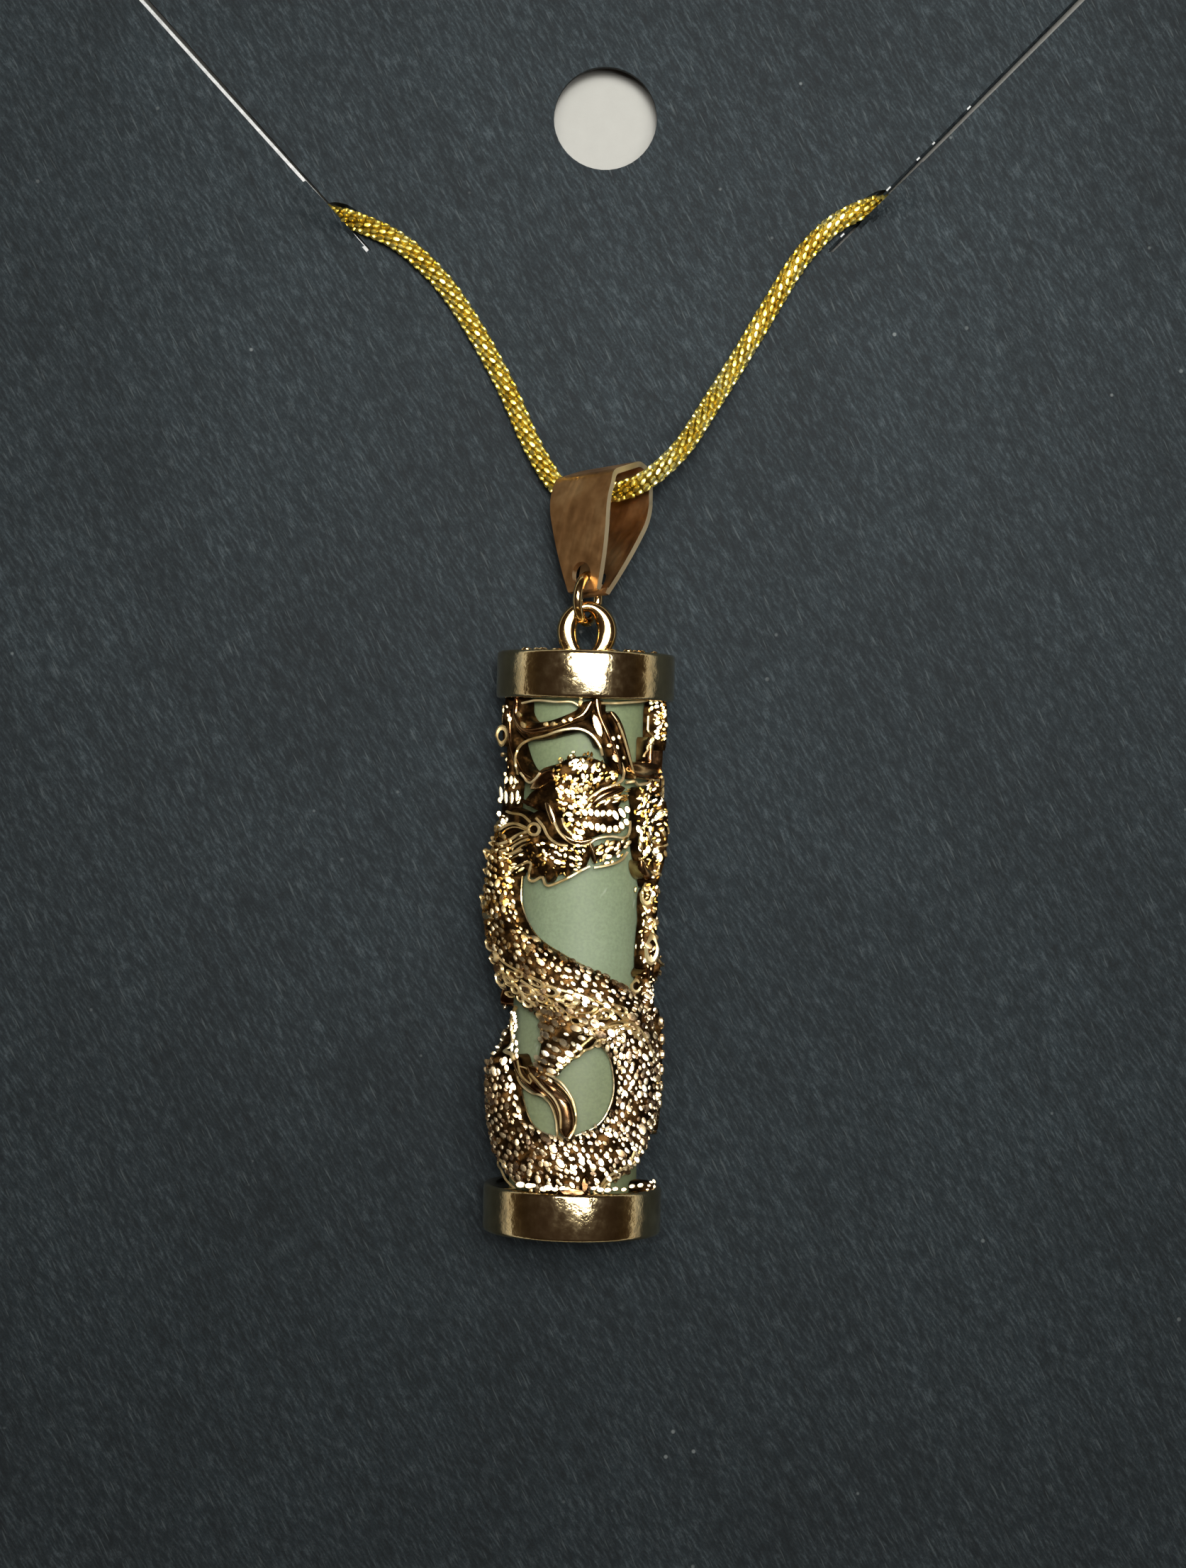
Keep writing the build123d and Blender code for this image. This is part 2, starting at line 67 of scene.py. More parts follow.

# %% [markdown]
# ## Where the pendant lies
# The pendant lies on the card and leans a little to the right. Pieces that stand round its
# column are easiest to make flat, as a strip of distance round, height up and height out, in
# millimetres, and to bend round the column at the end. Most places were read off the photo, so
# one helper looks through the camera at a pixel and finds the spot on the column.

# %% The pendant's place and the camera's eye
CENTRE = Vector((-1.65, 7.4, 7.68))
TILT = math.radians(1.5)
JADE_GAP_RADIUS = 4.0
MIDDLE_RADIUS = 4.55
SPAN = 29.6
BODY_LENGTH = 35.4
CAP_RADIUS = 5.45
CAP_HEIGHT = 2.9
EYE_AT = Vector((-0.78, 17.08, 207.15))
FOCAL_PIXELS = 4592
PICTURE = (1673, 2212)
PLACE = (
    Matrix.Translation(CENTRE * MM)
    @ Matrix.Rotation(-TILT, 4, "Z")
    @ Matrix.Rotation(-math.pi / 2, 4, "X")
    @ Matrix.Scale(MM, 4)
)


def seen(px, py, out=1.0):
    """The flat place, (round, up), of a pixel on the column, at a height above the jade."""
    radius = JADE_GAP_RADIUS + out
    height = CENTRE.z + radius
    for _ in range(6):
        scale = FOCAL_PIXELS / (EYE_AT.z - height)
        x = EYE_AT.x + (px - PICTURE[0] / 2) / scale - CENTRE.x
        y = EYE_AT.y + (PICTURE[1] / 2 - py) / scale - CENTRE.y
        across = x * math.cos(TILT) - y * math.sin(TILT)
        up = x * math.sin(TILT) + y * math.cos(TILT)
        turn = math.asin(max(-0.998, min(0.998, across / radius)))
        height = CENTRE.z + radius * math.cos(turn)
    return (turn * MIDDLE_RADIUS, up)


def pointing(degrees):
    """The flat direction (round, up, out) at an angle from level."""
    return np.array([math.cos(math.radians(degrees)), math.sin(math.radians(degrees)), 0.0])


def turned(degrees, level):
    """The flat place of an angle round the column, from the front, and a level from 0 to 1."""
    return (math.radians(degrees) * MIDDLE_RADIUS, (level - 0.5) * SPAN)


def bent_round(flat):
    """Flat points (round, up, out) bent round the column, in the frame's metres."""
    flat = np.asarray(flat, float).reshape(-1, 3)
    turn = flat[:, 0] / MIDDLE_RADIUS
    radius = JADE_GAP_RADIUS + flat[:, 2]
    x = radius * np.sin(turn)
    y = flat[:, 1]
    z = radius * np.cos(turn)
    c, s = math.cos(TILT), math.sin(TILT)
    world = np.stack([x * c + y * s, -x * s + y * c, z], axis=1) + np.array(CENTRE)
    return world * MM


print("front of the column at mid height:", [round(v, 4) for v in bent_round((0, 0, 1))[0]])

# %% [markdown]
# ## The camera
# The photo looks straight down on the card from about 20 cm. The camera gets the same distance
# and the same angle of view, so that near and far parts are as large as they are there.

# %% Camera
VIEW_HALF_ANGLE = math.atan(PICTURE[1] / 2 / FOCAL_PIXELS)
camera_data = bpy.data.cameras.new("camera")
camera_data.sensor_fit = "AUTO"
camera_data.sensor_width = 36.0
camera_data.lens = camera_data.sensor_width / 2 / math.tan(VIEW_HALF_ANGLE)
camera_data.clip_start = 0.005
camera_data.clip_end = 20.0
camera = bpy.data.objects.new("camera", camera_data)
camera.location = EYE_AT * MM
bpy.context.scene.collection.objects.link(camera)
bpy.context.scene.camera = camera
print("lens", round(camera_data.lens, 2))

# %% [markdown]
# ## Light
# Polished gold shows its surroundings. The photo has small bright spots at the top of every
# bead, from a lamp nearly overhead, dark brown between them, from the dim room, and pale lines
# on steep edges, from the bright table round the card. So the sky here is dim overhead and
# pale near the horizon, a soft lamp hangs above and a little to the upper right, a beam from
# the same place brightens the top of the card as it is in the photo, and a large pale floor
# lies round the card.

# %% Floor and lamps
FLOOR_SIZE = 1.6
bpy.ops.mesh.primitive_plane_add(size=FLOOR_SIZE, location=(0, 0, 0))
floor = bpy.context.object
floor.name = "floor"
bpy.ops.object.mode_set(mode="EDIT")
bpy.ops.mesh.inset(thickness=FLOOR_SIZE * 0.3, depth=0)
bpy.ops.mesh.subdivide(number_cuts=3)
bpy.ops.object.mode_set(mode="OBJECT")

LAMPS_AT = Vector((30, 88, 400))
PENDANT_AT = Vector((0, 10, 0))
TOP_OF_CARD = Vector((8, 50, 0))
SOFT_WHITE = (1.0, 0.98, 0.94)
BEAM_WHITE = (1.0, 0.98, 0.95)


def hang(lamp, aim):
    """Hangs a lamp above the card and points it at a place, in millimetres."""
    holder = bpy.data.objects.new(lamp.name, lamp)
    holder.location = LAMPS_AT * MM
    holder.rotation_mode = "QUATERNION"
    holder.rotation_quaternion = (aim - LAMPS_AT).normalized().to_track_quat("-Z", "Y")
    bpy.context.scene.collection.objects.link(holder)


soft_box = bpy.data.lights.new("key_lamp", "AREA")
soft_box.shape = "RECTANGLE"
soft_box.size = 300 * MM
soft_box.size_y = 150 * MM
soft_box.energy = 1.9
soft_box.color = SOFT_WHITE
hang(soft_box, PENDANT_AT)
beam = bpy.data.lights.new("reading_lamp", "SPOT")
beam.energy = 10.5
beam.color = BEAM_WHITE
beam.shadow_soft_size = 50 * MM
beam.spot_size = math.radians(17.5)
beam.spot_blend = 1.0
hang(beam, TOP_OF_CARD)
print("lamps:", soft_box.name, beam.name)

# %% [markdown]
# ## Finishes
# Every finish is a small recipe of nodes round one shader: a place on the object, one or two
# noises at the real size of the grain, a colour ramp, and a bump. Small helpers add a node with
# its settings and feed its inputs, so that each recipe stays short.

# %% Helpers for finishes
def blank_finish(name):
    """A new material with its shader, output and object coordinates."""
    finish = bpy.data.materials.new(name)
    finish.use_nodes = True
    tree = finish.node_tree
    tree.nodes.clear()
    shader = tree.nodes.new("ShaderNodeBsdfPrincipled")
    output = tree.nodes.new("ShaderNodeOutputMaterial")
    place = tree.nodes.new("ShaderNodeTexCoord")
    tree.links.new(shader.outputs[0], output.inputs[0])
    return finish, tree, shader, place.outputs["Object"]


def feed(tree, node, inputs):
    """Gives values or sockets to the inputs of a node."""
    for key, value in inputs.items():
        if isinstance(value, bpy.types.NodeSocket):
            tree.links.new(value, node.inputs[key])
        else:
            node.inputs[key].default_value = value


def add_node(tree, kind, inputs=None, **settings):
    """A node of a kind, with settings, and with values or sockets given to its inputs."""
    node = tree.nodes.new("ShaderNode" + kind)
    for key, value in settings.items():
        setattr(node, key, value)
    feed(tree, node, inputs or {})
    return node


def grain(tree, place, scale, detail=4.0, stretch=(1, 1, 1), turn=0.0, rough=0.55):
    """A noise of a given number of spots to a metre, stretched and turned about Z."""
    mapped = add_node(tree, "Mapping", {"Vector": place, "Rotation": (0, 0, turn)})
    stretched = add_node(tree, "Mapping", {"Vector": mapped.outputs[0], "Scale": stretch})
    noise = add_node(
        tree, "TexNoise",
        {"Vector": stretched.outputs[0], "Scale": scale, "Detail": detail, "Roughness": rough},
    )
    return noise.outputs["Fac"]


def colour_ramp(tree, value, stops):
    """Colours between the stops (position, colour) of a value."""
    node = add_node(tree, "ValToRGB", {0: value})
    while len(node.color_ramp.elements) < len(stops):
        node.color_ramp.elements.new(0.5)
    for element, (position, colour) in zip(node.color_ramp.elements, stops):
        element.position = position
        element.color = (*colour, 1.0)
    return node.outputs["Color"]


def spread(tree, value, low, high, from_low=0.3, from_high=0.7):
    """A value moved to lie between low and high."""
    node = add_node(
        tree, "MapRange",
        {"Value": value, "From Min": from_low, "From Max": from_high, "To Min": low, "To Max": high},
    )
    return node.outputs[0]


def blend_colours(tree, factor, first, second, mode="MIX"):
    """One colour laid over another by a factor."""
    inputs = {0: factor, 6: first, 7: second}
    return add_node(tree, "Mix", inputs, data_type="RGBA", blend_type=mode).outputs[2]


def bumped(tree, shader, height, strength, distance):
    """Gives the shader a bump of a height, in metres."""
    node = add_node(tree, "Bump", {"Height": height, "Strength": strength, "Distance": distance})
    feed(tree, shader, {"Normal": node.outputs[0]})


def wear(finish, *pieces):
    """Puts a finish on pieces in place of what they wear."""
    for piece in pieces:
        piece.data.materials.clear()
        piece.data.materials.append(finish)


# %% [markdown]
# ## The sky
# Reflections and soft light come from the sky too. It is pale at the horizon, darkest less than
# half way up, and dim brown overhead. What the camera sees of it directly, in the views from
# the side, is a plain pale backdrop.

# %% Sky
SKY_STOPS = [
    # height of the direction, colour
    (0.0, (0.80, 0.75, 0.64)),
    (0.05, (0.60, 0.54, 0.44)),
    (0.11, (0.075, 0.052, 0.031)),
    (0.40, (0.027, 0.018, 0.011)),
    (1.0, (0.060, 0.042, 0.034)),
]
BACKDROP = (0.78, 0.77, 0.75, 1.0)
world = bpy.data.worlds.new("studio")
bpy.context.scene.world = world
world.use_nodes = True
sky = world.node_tree
sky.nodes.clear()
direction = add_node(sky, "TexCoord").outputs["Generated"]
upness = add_node(sky, "SeparateXYZ", {0: direction}).outputs["Z"]
glow = add_node(sky, "Background", {"Color": colour_ramp(sky, upness, SKY_STOPS), "Strength": 1.0})
backdrop = add_node(sky, "Background", {"Color": BACKDROP})
seen_directly = add_node(sky, "LightPath").outputs["Is Camera Ray"]
both = add_node(sky, "MixShader", {0: seen_directly, 1: glow.outputs[0], 2: backdrop.outputs[0]})
add_node(sky, "OutputWorld", {0: both.outputs[0]})
bpy.context.scene.view_settings.view_transform = "Standard"
print("sky stops:", len(SKY_STOPS))

# %% [markdown]
# ## Card stock
# The card is a dark blue-grey board with a dense nap of fine fibres that all lean the same
# way, and a few paler fibres and flecks on top. Stretched noise gives the nap. A second,
# sparser one gives the pale fibres, and small cells give the flecks.

# %% Card stock
FIBRE_LEAN = math.radians(-32)
NAP_TONES = [
    (0.36, (0.0036, 0.0068, 0.0088)), (0.50, (0.0104, 0.0152, 0.0178)), (0.66, (0.027, 0.035, 0.039)),
]
BLACK, WHITE = (0.0, 0.0, 0.0), (1.0, 1.0, 1.0)
PALE_FIBRE = (0.062, 0.075, 0.078, 1.0)
PALE_FLECK = (0.16, 0.18, 0.18, 1.0)
card_stock, tree, shader, place = blank_finish("card_stock")
nap = grain(tree, place, 5600, 4.0, (1, 0.2, 1), FIBRE_LEAN, 0.6)
speckle = grain(tree, place, 9000, 2.0)
streaks = grain(tree, place, 1500, 3.0, (1, 0.16, 1), FIBRE_LEAN + 0.05)
patch = grain(tree, place, 60, 3.0)
long_fibre = grain(tree, place, 6500, 1.0, (1, 0.09, 1), FIBRE_LEAN + 0.12, 0.5)
base = colour_ramp(tree, nap, NAP_TONES)
for value, low, high in ((speckle, 0.75, 1.25), (streaks, 0.80, 1.20), (patch, 0.86, 1.14)):
    tone = colour_ramp(tree, value, [(0.35, (low, low, low)), (0.65, (high, high, high))])
    base = blend_colours(tree, 1.0, base, tone, "MULTIPLY")
pale = colour_ramp(tree, long_fibre, [(0.66, BLACK), (0.76, (0.5, 0.5, 0.5))])
base = blend_colours(tree, pale, base, PALE_FIBRE)
cells = add_node(tree, "TexVoronoi", {"Vector": place, "Scale": 420.0, "Randomness": 1.0})
fleck = colour_ramp(tree, cells.outputs["Distance"], [(0.035, WHITE), (0.065, BLACK)])
rare = colour_ramp(tree, grain(tree, place, 230, 1.0), [(0.55, BLACK), (0.62, (0.6, 0.6, 0.6))])
fleck = blend_colours(tree, 1.0, fleck, rare, "MULTIPLY")
base = blend_colours(tree, fleck, base, PALE_FLECK)
roughness = spread(tree, nap, 0.7, 0.95)
feed(tree, shader, {"Base Color": base, "Roughness": roughness, "Specular IOR Level": 0.22})
bumped(tree, shader, nap, 0.7, 0.00003)

# pale core of the cut board; on the left slit's lit side it is also a painted highlight
cut_core, tree, shader, place = blank_finish("cut_core")
fuzz = grain(tree, place, 3000, 4.0)
base = colour_ramp(tree, fuzz, [(0.3, (0.26, 0.27, 0.27)), (0.7, (0.50, 0.51, 0.51))])
feed(tree, shader, {"Base Color": base, "Roughness": spread(tree, fuzz, 0.5, 0.8)})
bumped(tree, shader, fuzz, 0.5, 0.00003)

shaded_board, tree, shader, place = blank_finish("shaded_board")
fuzz = grain(tree, place, 4000, 3.0)
base = colour_ramp(tree, fuzz, [(0.3, (0.003, 0.004, 0.005)), (0.7, (0.010, 0.013, 0.014))])
feed(tree, shader, {"Base Color": base, "Roughness": 0.95, "Specular IOR Level": 0.05})
print("card finishes:", card_stock.name, cut_core.name, shaded_board.name)

# %% [markdown]
# ## Jade
# Pale grey-green stone, polished and slightly clouded. Light goes a little way in, so the
# shader scatters it under the surface. Broad clouds and faint short scratches keep it from
# looking like plastic. Its colour is also painted darker and yellower low down and dimmer near
# the top, as painted shade.

# %% Jade
STONE_TONES = [(0.28, (0.132, 0.172, 0.106)), (0.5, (0.170, 0.216, 0.134)), (0.72, (0.204, 0.252, 0.164))]
JADE_PAINTED_SHADE = [
    # share of the way up the column, tint: painted shade, darker and yellower low down and dimmer under the
    # casting's clouds
    (0.0, (0.84, 0.79, 0.64)),
    (0.25, (0.96, 0.92, 0.85)),
    (0.42, (1.0, 1.0, 1.0)),
    (0.62, (0.97, 0.97, 0.92)),
    (0.80, (0.84, 0.83, 0.70)),
]
jade_stone, tree, shader, place = blank_finish("jade_stone")
clouds = grain(tree, place, 160, 5.0, (1, 0.6, 1), 0.4)
flaws = grain(tree, place, 1900, 2.0, (1, 0.16, 1), 0.5, 0.5)
grit = grain(tree, place, 5200, 3.0)
base = colour_ramp(tree, clouds, STONE_TONES)
grit_tone = colour_ramp(tree, grit, [(0.35, (0.88, 0.88, 0.88)), (0.65, (1.1, 1.1, 1.1))])
base = blend_colours(tree, 1.0, base, grit_tone, "MULTIPLY")
level = add_node(tree, "SeparateXYZ", {0: place}).outputs["Y"]
# painted shade on the jade by level up the column
jade_painted_shade = colour_ramp(tree, spread(tree, level, 0.0, 1.0, -0.006, 0.024), JADE_PAINTED_SHADE)
base = blend_colours(tree, 1.0, base, jade_painted_shade, "MULTIPLY")
light_flaw = colour_ramp(tree, flaws, [(0.70, BLACK), (0.78, (0.5, 0.5, 0.5))])
base = blend_colours(tree, light_flaw, base, (0.40, 0.45, 0.36, 1.0))
feed(tree, shader, {
    "Base Color": base, "Roughness": spread(tree, grit, 0.55, 0.72), "Specular IOR Level": 0.35,
    "Subsurface Weight": 0.3, "Subsurface Radius": (0.9, 1.0, 0.7), "Subsurface Scale": 0.0008, "IOR": 1.6,
})
bumped(tree, shader, flaws, 0.12, 0.00004)
print("jade:", jade_stone.name)

# %% [markdown]
# ## Golds
# All the metal is plated, but not alike: the chain is bright yellow, the caps are a paler
# champagne with smudges, the bail is a satin rose gold with brush marks, and the casting is
# bright on its crests. The hollows of the casting and the chain's core get a near-black gold
# that is painted shade. One recipe makes them all from a row of numbers: three colours, how
# rough, how large and deep the grain is, and how metallic.

# %% Golds
GOLDS = {
    # name: dark, middle and light colour,
    # roughness low and high, grain to a metre, bump, stretch, metal
    "cast_gold": (
        (0.76, 0.48, 0.16), (0.97, 0.73, 0.35), (1.0, 0.88, 0.57),
        0.22, 0.34, 2600, 0.12, (1, 1, 1), 1.0,
    ),
    "amber_gold": (
        (0.24, 0.105, 0.016), (0.56, 0.29, 0.055), (0.95, 0.66, 0.22),
        0.20, 0.34, 5200, 0.12, (1, 1, 1), 1.0,
    ),
    # painted shade: near-black gold on the strands under the scales stands for the shade between them
    "cast_hollow": (
        (0.008, 0.004, 0.0015), (0.030, 0.015, 0.005), (0.20, 0.10, 0.030),
        0.48, 0.74, 7000, 0.35, (1, 1, 1), 1.0,
    ),
    "smooth_gold": (
        (0.11, 0.048, 0.020), (0.30, 0.160, 0.070), (0.74, 0.54, 0.28),
        0.12, 0.26, 3000, 0.15, (1, 1, 1), 1.0,
    ),
    "rim_gold": (
        (0.48, 0.33, 0.12), (0.74, 0.56, 0.27), (0.95, 0.82, 0.50),
        0.32, 0.46, 2400, 0.20, (1, 1, 1), 0.75,
    ),
    "eye_gold": (
        (0.66, 0.42, 0.17), (0.88, 0.65, 0.32), (1.0, 0.86, 0.56),
        0.06, 0.16, 1100, 0.12, (1, 1, 1), 1.0,
    ),
    "cap_gold": (
        (0.62, 0.47, 0.26), (0.74, 0.59, 0.33), (0.92, 0.77, 0.46),
        0.07, 0.18, 1700, 0.75, (1, 1, 1), 1.0,
    ),
    "chain_gold": (
        (0.88, 0.64, 0.09), (1.0, 0.83, 0.20), (1.0, 0.93, 0.42),
        0.30, 0.44, 2400, 0.08, (1, 1, 1), 1.0,
    ),
    # painted shade: the near-black gold of the chain's core stands for the shade inside the weave
    "chain_core": (
        (0.07, 0.042, 0.004), (0.13, 0.085, 0.010), (0.22, 0.155, 0.022),
        0.40, 0.60, 3000, 0.20, (1, 1, 1), 1.0,
    ),
    "satin_gold": (
        (0.34, 0.175, 0.070), (0.50, 0.275, 0.115), (0.70, 0.430, 0.200),
        0.34, 0.48, 2600, 0.14, (1, 0.08, 1), 1.0,
    ),
}
gold = {}
for name, (dark, middle, light, smooth_low, smooth_high, spots, bump, stretch, metal) in GOLDS.items():
    finish, tree, shader, place = blank_finish(name)
    fine = grain(tree, place, spots, 5.0, stretch, 0.35)
    broad = grain(tree, place, spots / 5, 3.0)
    tint = colour_ramp(tree, broad, [(0.32, dark), (0.5, middle), (0.68, light)])
    smudge = colour_ramp(tree, fine, [(0.3, (0.84, 0.84, 0.84)), (0.7, WHITE)])
    base = blend_colours(tree, 1.0, tint, smudge, "MULTIPLY")
    roughness = spread(tree, fine, smooth_low, smooth_high)
    feed(tree, shader, {"Base Color": base, "Roughness": roughness, "Metallic": metal})
    bumped(tree, shader, fine, bump, 0.00004)
    gold[name] = finish
print("golds:", len(gold))

# %% [markdown]
# ## Colour that changes over a piece
# The cut rims of the bail are bare of the satin finish and shine, and the casting is greyer and
# a little darker low down than at the head. Both are the same recipe with one more colour laid
# over its own: on the rims where the surface faces sideways out of the leaf, and on the casting
# below a level of the column.

# %% Rims of the bail and greyer lower body
BAIL_TURN, BAIL_PITCH, BAIL_TILT = 42, 105, 8
RIM_COLOUR = (0.92, 0.78, 0.52, 1.0)
LOW_DOWN_GREY = (0.52, 0.48, 0.43, 1.0)


def plated_over(finish, factor_of, colour):
    """Lays a second colour over a finish, by a factor worked out from its coordinates."""
    tree = finish.node_tree
    shader = next(node for node in tree.nodes if node.type == "BSDF_PRINCIPLED")
    factor = factor_of(tree, add_node(tree, "TexCoord").outputs)
    own = shader.inputs["Base Color"].links[0].from_socket
    feed(tree, shader, {"Base Color": blend_colours(tree, factor, own, colour)})


def on_rim(tree, coordinates):
    """1 where the surface faces sideways out of the bail's leaf, either way."""
    sideways_out = (
        Matrix.Rotation(math.radians(-BAIL_TILT), 3, "Z") @ Matrix.Rotation(math.radians(-BAIL_PITCH), 3, "X")
        @ Matrix.Rotation(math.radians(-BAIL_TURN), 3, "Z") @ Vector((1, 0, 0))
    )
    facing = {0: coordinates["Normal"], 1: tuple(sideways_out)}
    along = add_node(tree, "VectorMath", facing, operation="DOT_PRODUCT").outputs["Value"]
    along = add_node(tree, "Math", {0: along}, operation="ABSOLUTE").outputs[0]
    return spread(tree, along, 0.0, 1.0, 0.88, 0.98)


def low_down(tree, coordinates):
    """Some on the lower body, and nothing from a level upward."""
    level = add_node(tree, "SeparateXYZ", {0: coordinates["Object"]}).outputs["Y"]
    return spread(tree, level, 0.38, 0.0, 0.004, 0.010)


plated_over(gold["satin_gold"], on_rim, RIM_COLOUR)
# the casting is made greyer and a little darker low down
for name in ("cast_gold", "amber_gold"):
    plated_over(gold[name], low_down, LOW_DOWN_GREY)
print("rims of the bail shine, lower body paler")

# %% [markdown]
# ## The floor's finish
# A plain pale paper sweep, with only enough grain to look like paper. Far from the card, where
# the lamps don't reach, it glows a little: painted light, an emission that stands in for
# lamplight on the sweep.

# %% Floor finish
pale_paper, tree, shader, place = blank_finish("pale_paper")
pulp = grain(tree, place, 900, 4.0)
base = colour_ramp(tree, pulp, [(0.3, (0.265, 0.265, 0.245)), (0.7, (0.29, 0.29, 0.27))])
# painted light: the glow rises with distance from the middle, where the lamps don't reach
distance = add_node(tree, "VectorMath", {0: place}, operation="LENGTH").outputs["Value"]
feed(tree, shader, {
    "Base Color": base, "Roughness": spread(tree, pulp, 0.75, 0.95),
    "Emission Color": (0.72, 0.70, 0.66, 1.0),
    "Emission Strength": spread(tree, distance, 0.0, 0.85, 0.13, 0.60),
})
bumped(tree, shader, pulp, 0.2, 0.0001)
wear(pale_paper, floor)
wear(card_stock, frame["nodes"]["display_card"])
wear(jade_stone, frame["nodes"]["jade_column"])
wear(gold["satin_gold"], frame["nodes"]["bail"])
wear(gold["eye_gold"], frame["nodes"]["link_ring"])
wear(gold["chain_gold"], frame["nodes"]["clasp"])
print("dressed so far: floor, card, jade, bail, ring, clasp")

# %% [markdown]
# ## Shapes for the casting
# A dragon like this is carved in wax and cast in one go. Here it is built up flat, the way a
# carver adds strips and pellets of wax: strands are strips of one cross-section that follow a
# line, and pellets are copies of one small bead. Sweeping and copying hundreds of shapes is
# quicker and more exact in mesh code than with operators, so only the pellets themselves are
# modelled by hand.

# %% Piles of flat shapes
class Pile:
    """Corners and faces of the flat shapes of one piece."""

    def __init__(self):
        self.corners = []
        self.faces = []
        self.count = 0

    def add(self, corners, faces):
        self.corners.append(np.asarray(corners, float))
        self.faces.extend(tuple(i + self.count for i in face) for face in faces)
        self.count += len(corners)


def finished(name, pile, finish, bend=bent_round):
    """The piece made of a pile, bent to its place, smooth, and riding on the frame."""
    mesh = bpy.data.meshes.new(name)
    mesh.from_pydata(bend(np.concatenate(pile.corners)).tolist(), [], pile.faces)
    mesh.materials.append(finish)
    piece = bpy.data.objects.new(name, mesh)
    bpy.context.scene.collection.objects.link(piece)
    smooth_by_angle(piece)
    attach(piece, "root")
    mesh.calc_loop_triangles()
    print(name, "triangles:", len(mesh.loop_triangles))
    return piece


def smooth_by_angle(piece, degrees=40):
    """Shades a piece smooth, but for its sharper edges."""
    bpy.ops.object.select_all(action="DESELECT")
    piece.select_set(True)
    bpy.context.view_layer.objects.active = piece
    bpy.ops.object.shade_smooth_by_angle(angle=math.radians(degrees))
    piece.select_set(False)


def even_line(points, pitch):
    """A smooth line through points of any number of values, cut into even steps."""
    points = [np.array(point, float) for point in points]
    padded = [2 * points[0] - points[1]] + points + [2 * points[-1] - points[-2]]
    fine = [points[0]]
    for a, b, c, d in zip(padded, padded[1:], padded[2:], padded[3:]):
        for step in range(1, 9):
            t = step / 8
            fine.append(0.5 * (2 * b + (c - a) * t + (2 * a - 5 * b + 4 * c - d) * t * t
                               + (3 * b - a - 3 * c + d) * t ** 3))
    fine = np.array(fine)
    runs = np.linalg.norm(np.diff(fine[:, :2], axis=0), axis=1)
    along = np.concatenate([[0.0], np.cumsum(runs)])
    count = max(3, int(round(along[-1] / pitch)) + 1)
    at = np.linspace(0, along[-1], count)
    return np.stack([np.interp(at, along, fine[:, k]) for k in range(fine.shape[1])], axis=1)


def sideways(line):
    """The direction of travel and the direction to the left, at each place of a flat line."""
    travel = np.gradient(line[:, :2], axis=0)
    travel /= np.maximum(np.linalg.norm(travel, axis=1, keepdims=True), 1e-9)
    left = np.stack([-travel[:, 1], travel[:, 0]], axis=1)
    return travel, left


FLATNESS = 0.6
DOME = [(math.cos(math.pi * k / 14), abs(math.sin(math.pi * k / 14)) ** FLATNESS) for k in range(15)]
BAND = [(1.0, 0.35), (0.97, 0.8), (0.88, 1.0), (0.74, 0.9), (0.5, 0.62), (0.0, 0.5),
        (-0.5, 0.62), (-0.74, 0.9), (-0.88, 1.0), (-0.97, 0.8), (-1.0, 0.35)]
UNDERSIDE = 0.02
LOWEST_GROUND = 0.12
AROUND = 2 * math.pi * MIDDLE_RADIUS
ground = []


def height_at(u, v):
    """The height above the jade of the strands laid so far, at a flat place."""
    spots = np.concatenate(ground) if len(ground) > 1 else ground[0]
    aside = (spots[:, 0] - u + AROUND / 2) % AROUND - AROUND / 2
    share = np.hypot(aside, spots[:, 1] - v) / spots[:, 2]
    over = share < 1
    if not over.any():
        return LOWEST_GROUND
    spots, share = spots[over], share[over]
    return float((spots[:, 4] + (spots[:, 3] - spots[:, 4]) * (1 - share ** 2) ** (FLATNESS / 2)).max())


def tube_faces(rows, around):
    """The faces of a closed tube: rows of corners, as many in each row as go around."""
    faces = []
    for k in range(rows - 1):
        for j in range(around):
            a = k * around + j
            b = k * around + (j + 1) % around
            faces.append((a, a + around, b + around, b))
    faces.append(tuple(range(around)))
    faces.append(tuple(reversed(range((rows - 1) * around, rows * around))))
    return faces


def strand(pile, points, edge, section=DOME, pitch=0.16):
    """A strip with round ends along points (round, up, half width, rise), flat underneath.

    Its shoulders stand at the height of the edge, and the section rises above them.
    """
    line = even_line(points, pitch)
    left = sideways(line)[1]
    ground.append(np.column_stack([line, np.minimum(edge, line[:, 3])]))
    runs = np.linalg.norm(np.diff(line[:, :2], axis=0), axis=1)
    along = np.concatenate([[0.0], np.cumsum(runs)])
    corners = []
    for k, (u, v, half, rise) in enumerate(line):
        near = min(along[k], along[-1] - along[k]) + 0.02
        half *= math.sqrt(max(0.0, 1 - max(0.0, 1 - near / half) ** 2))
        shoulder = min(edge, rise)
        corners.append((u - left[k][0] * half, v - left[k][1] * half, UNDERSIDE))
        for share, height in reversed(section):
            w = shoulder + (rise - shoulder) * height
            corners.append((u + left[k][0] * half * share, v + left[k][1] * half * share, w))
        corners.append((u + left[k][0] * half, v + left[k][1] * half, UNDERSIDE))
    pile.add(corners, tube_faces(len(line), len(section) + 2))


def wire(pile, points, thick, sides=6, pitch=0.14):
    """A round wire along points (round, up, out)."""
    line = even_line(points, pitch)
    left = sideways(line)[1]
    corners = []
    for k, (u, v, out) in enumerate(line):
        for j in range(sides):
            turn = 2 * math.pi * j / sides
            aside = math.cos(turn) * thick
            corners.append((u + left[k][0] * aside, v + left[k][1] * aside, out + math.sin(turn) * thick))
    pile.add(corners, tube_faces(len(line), sides))


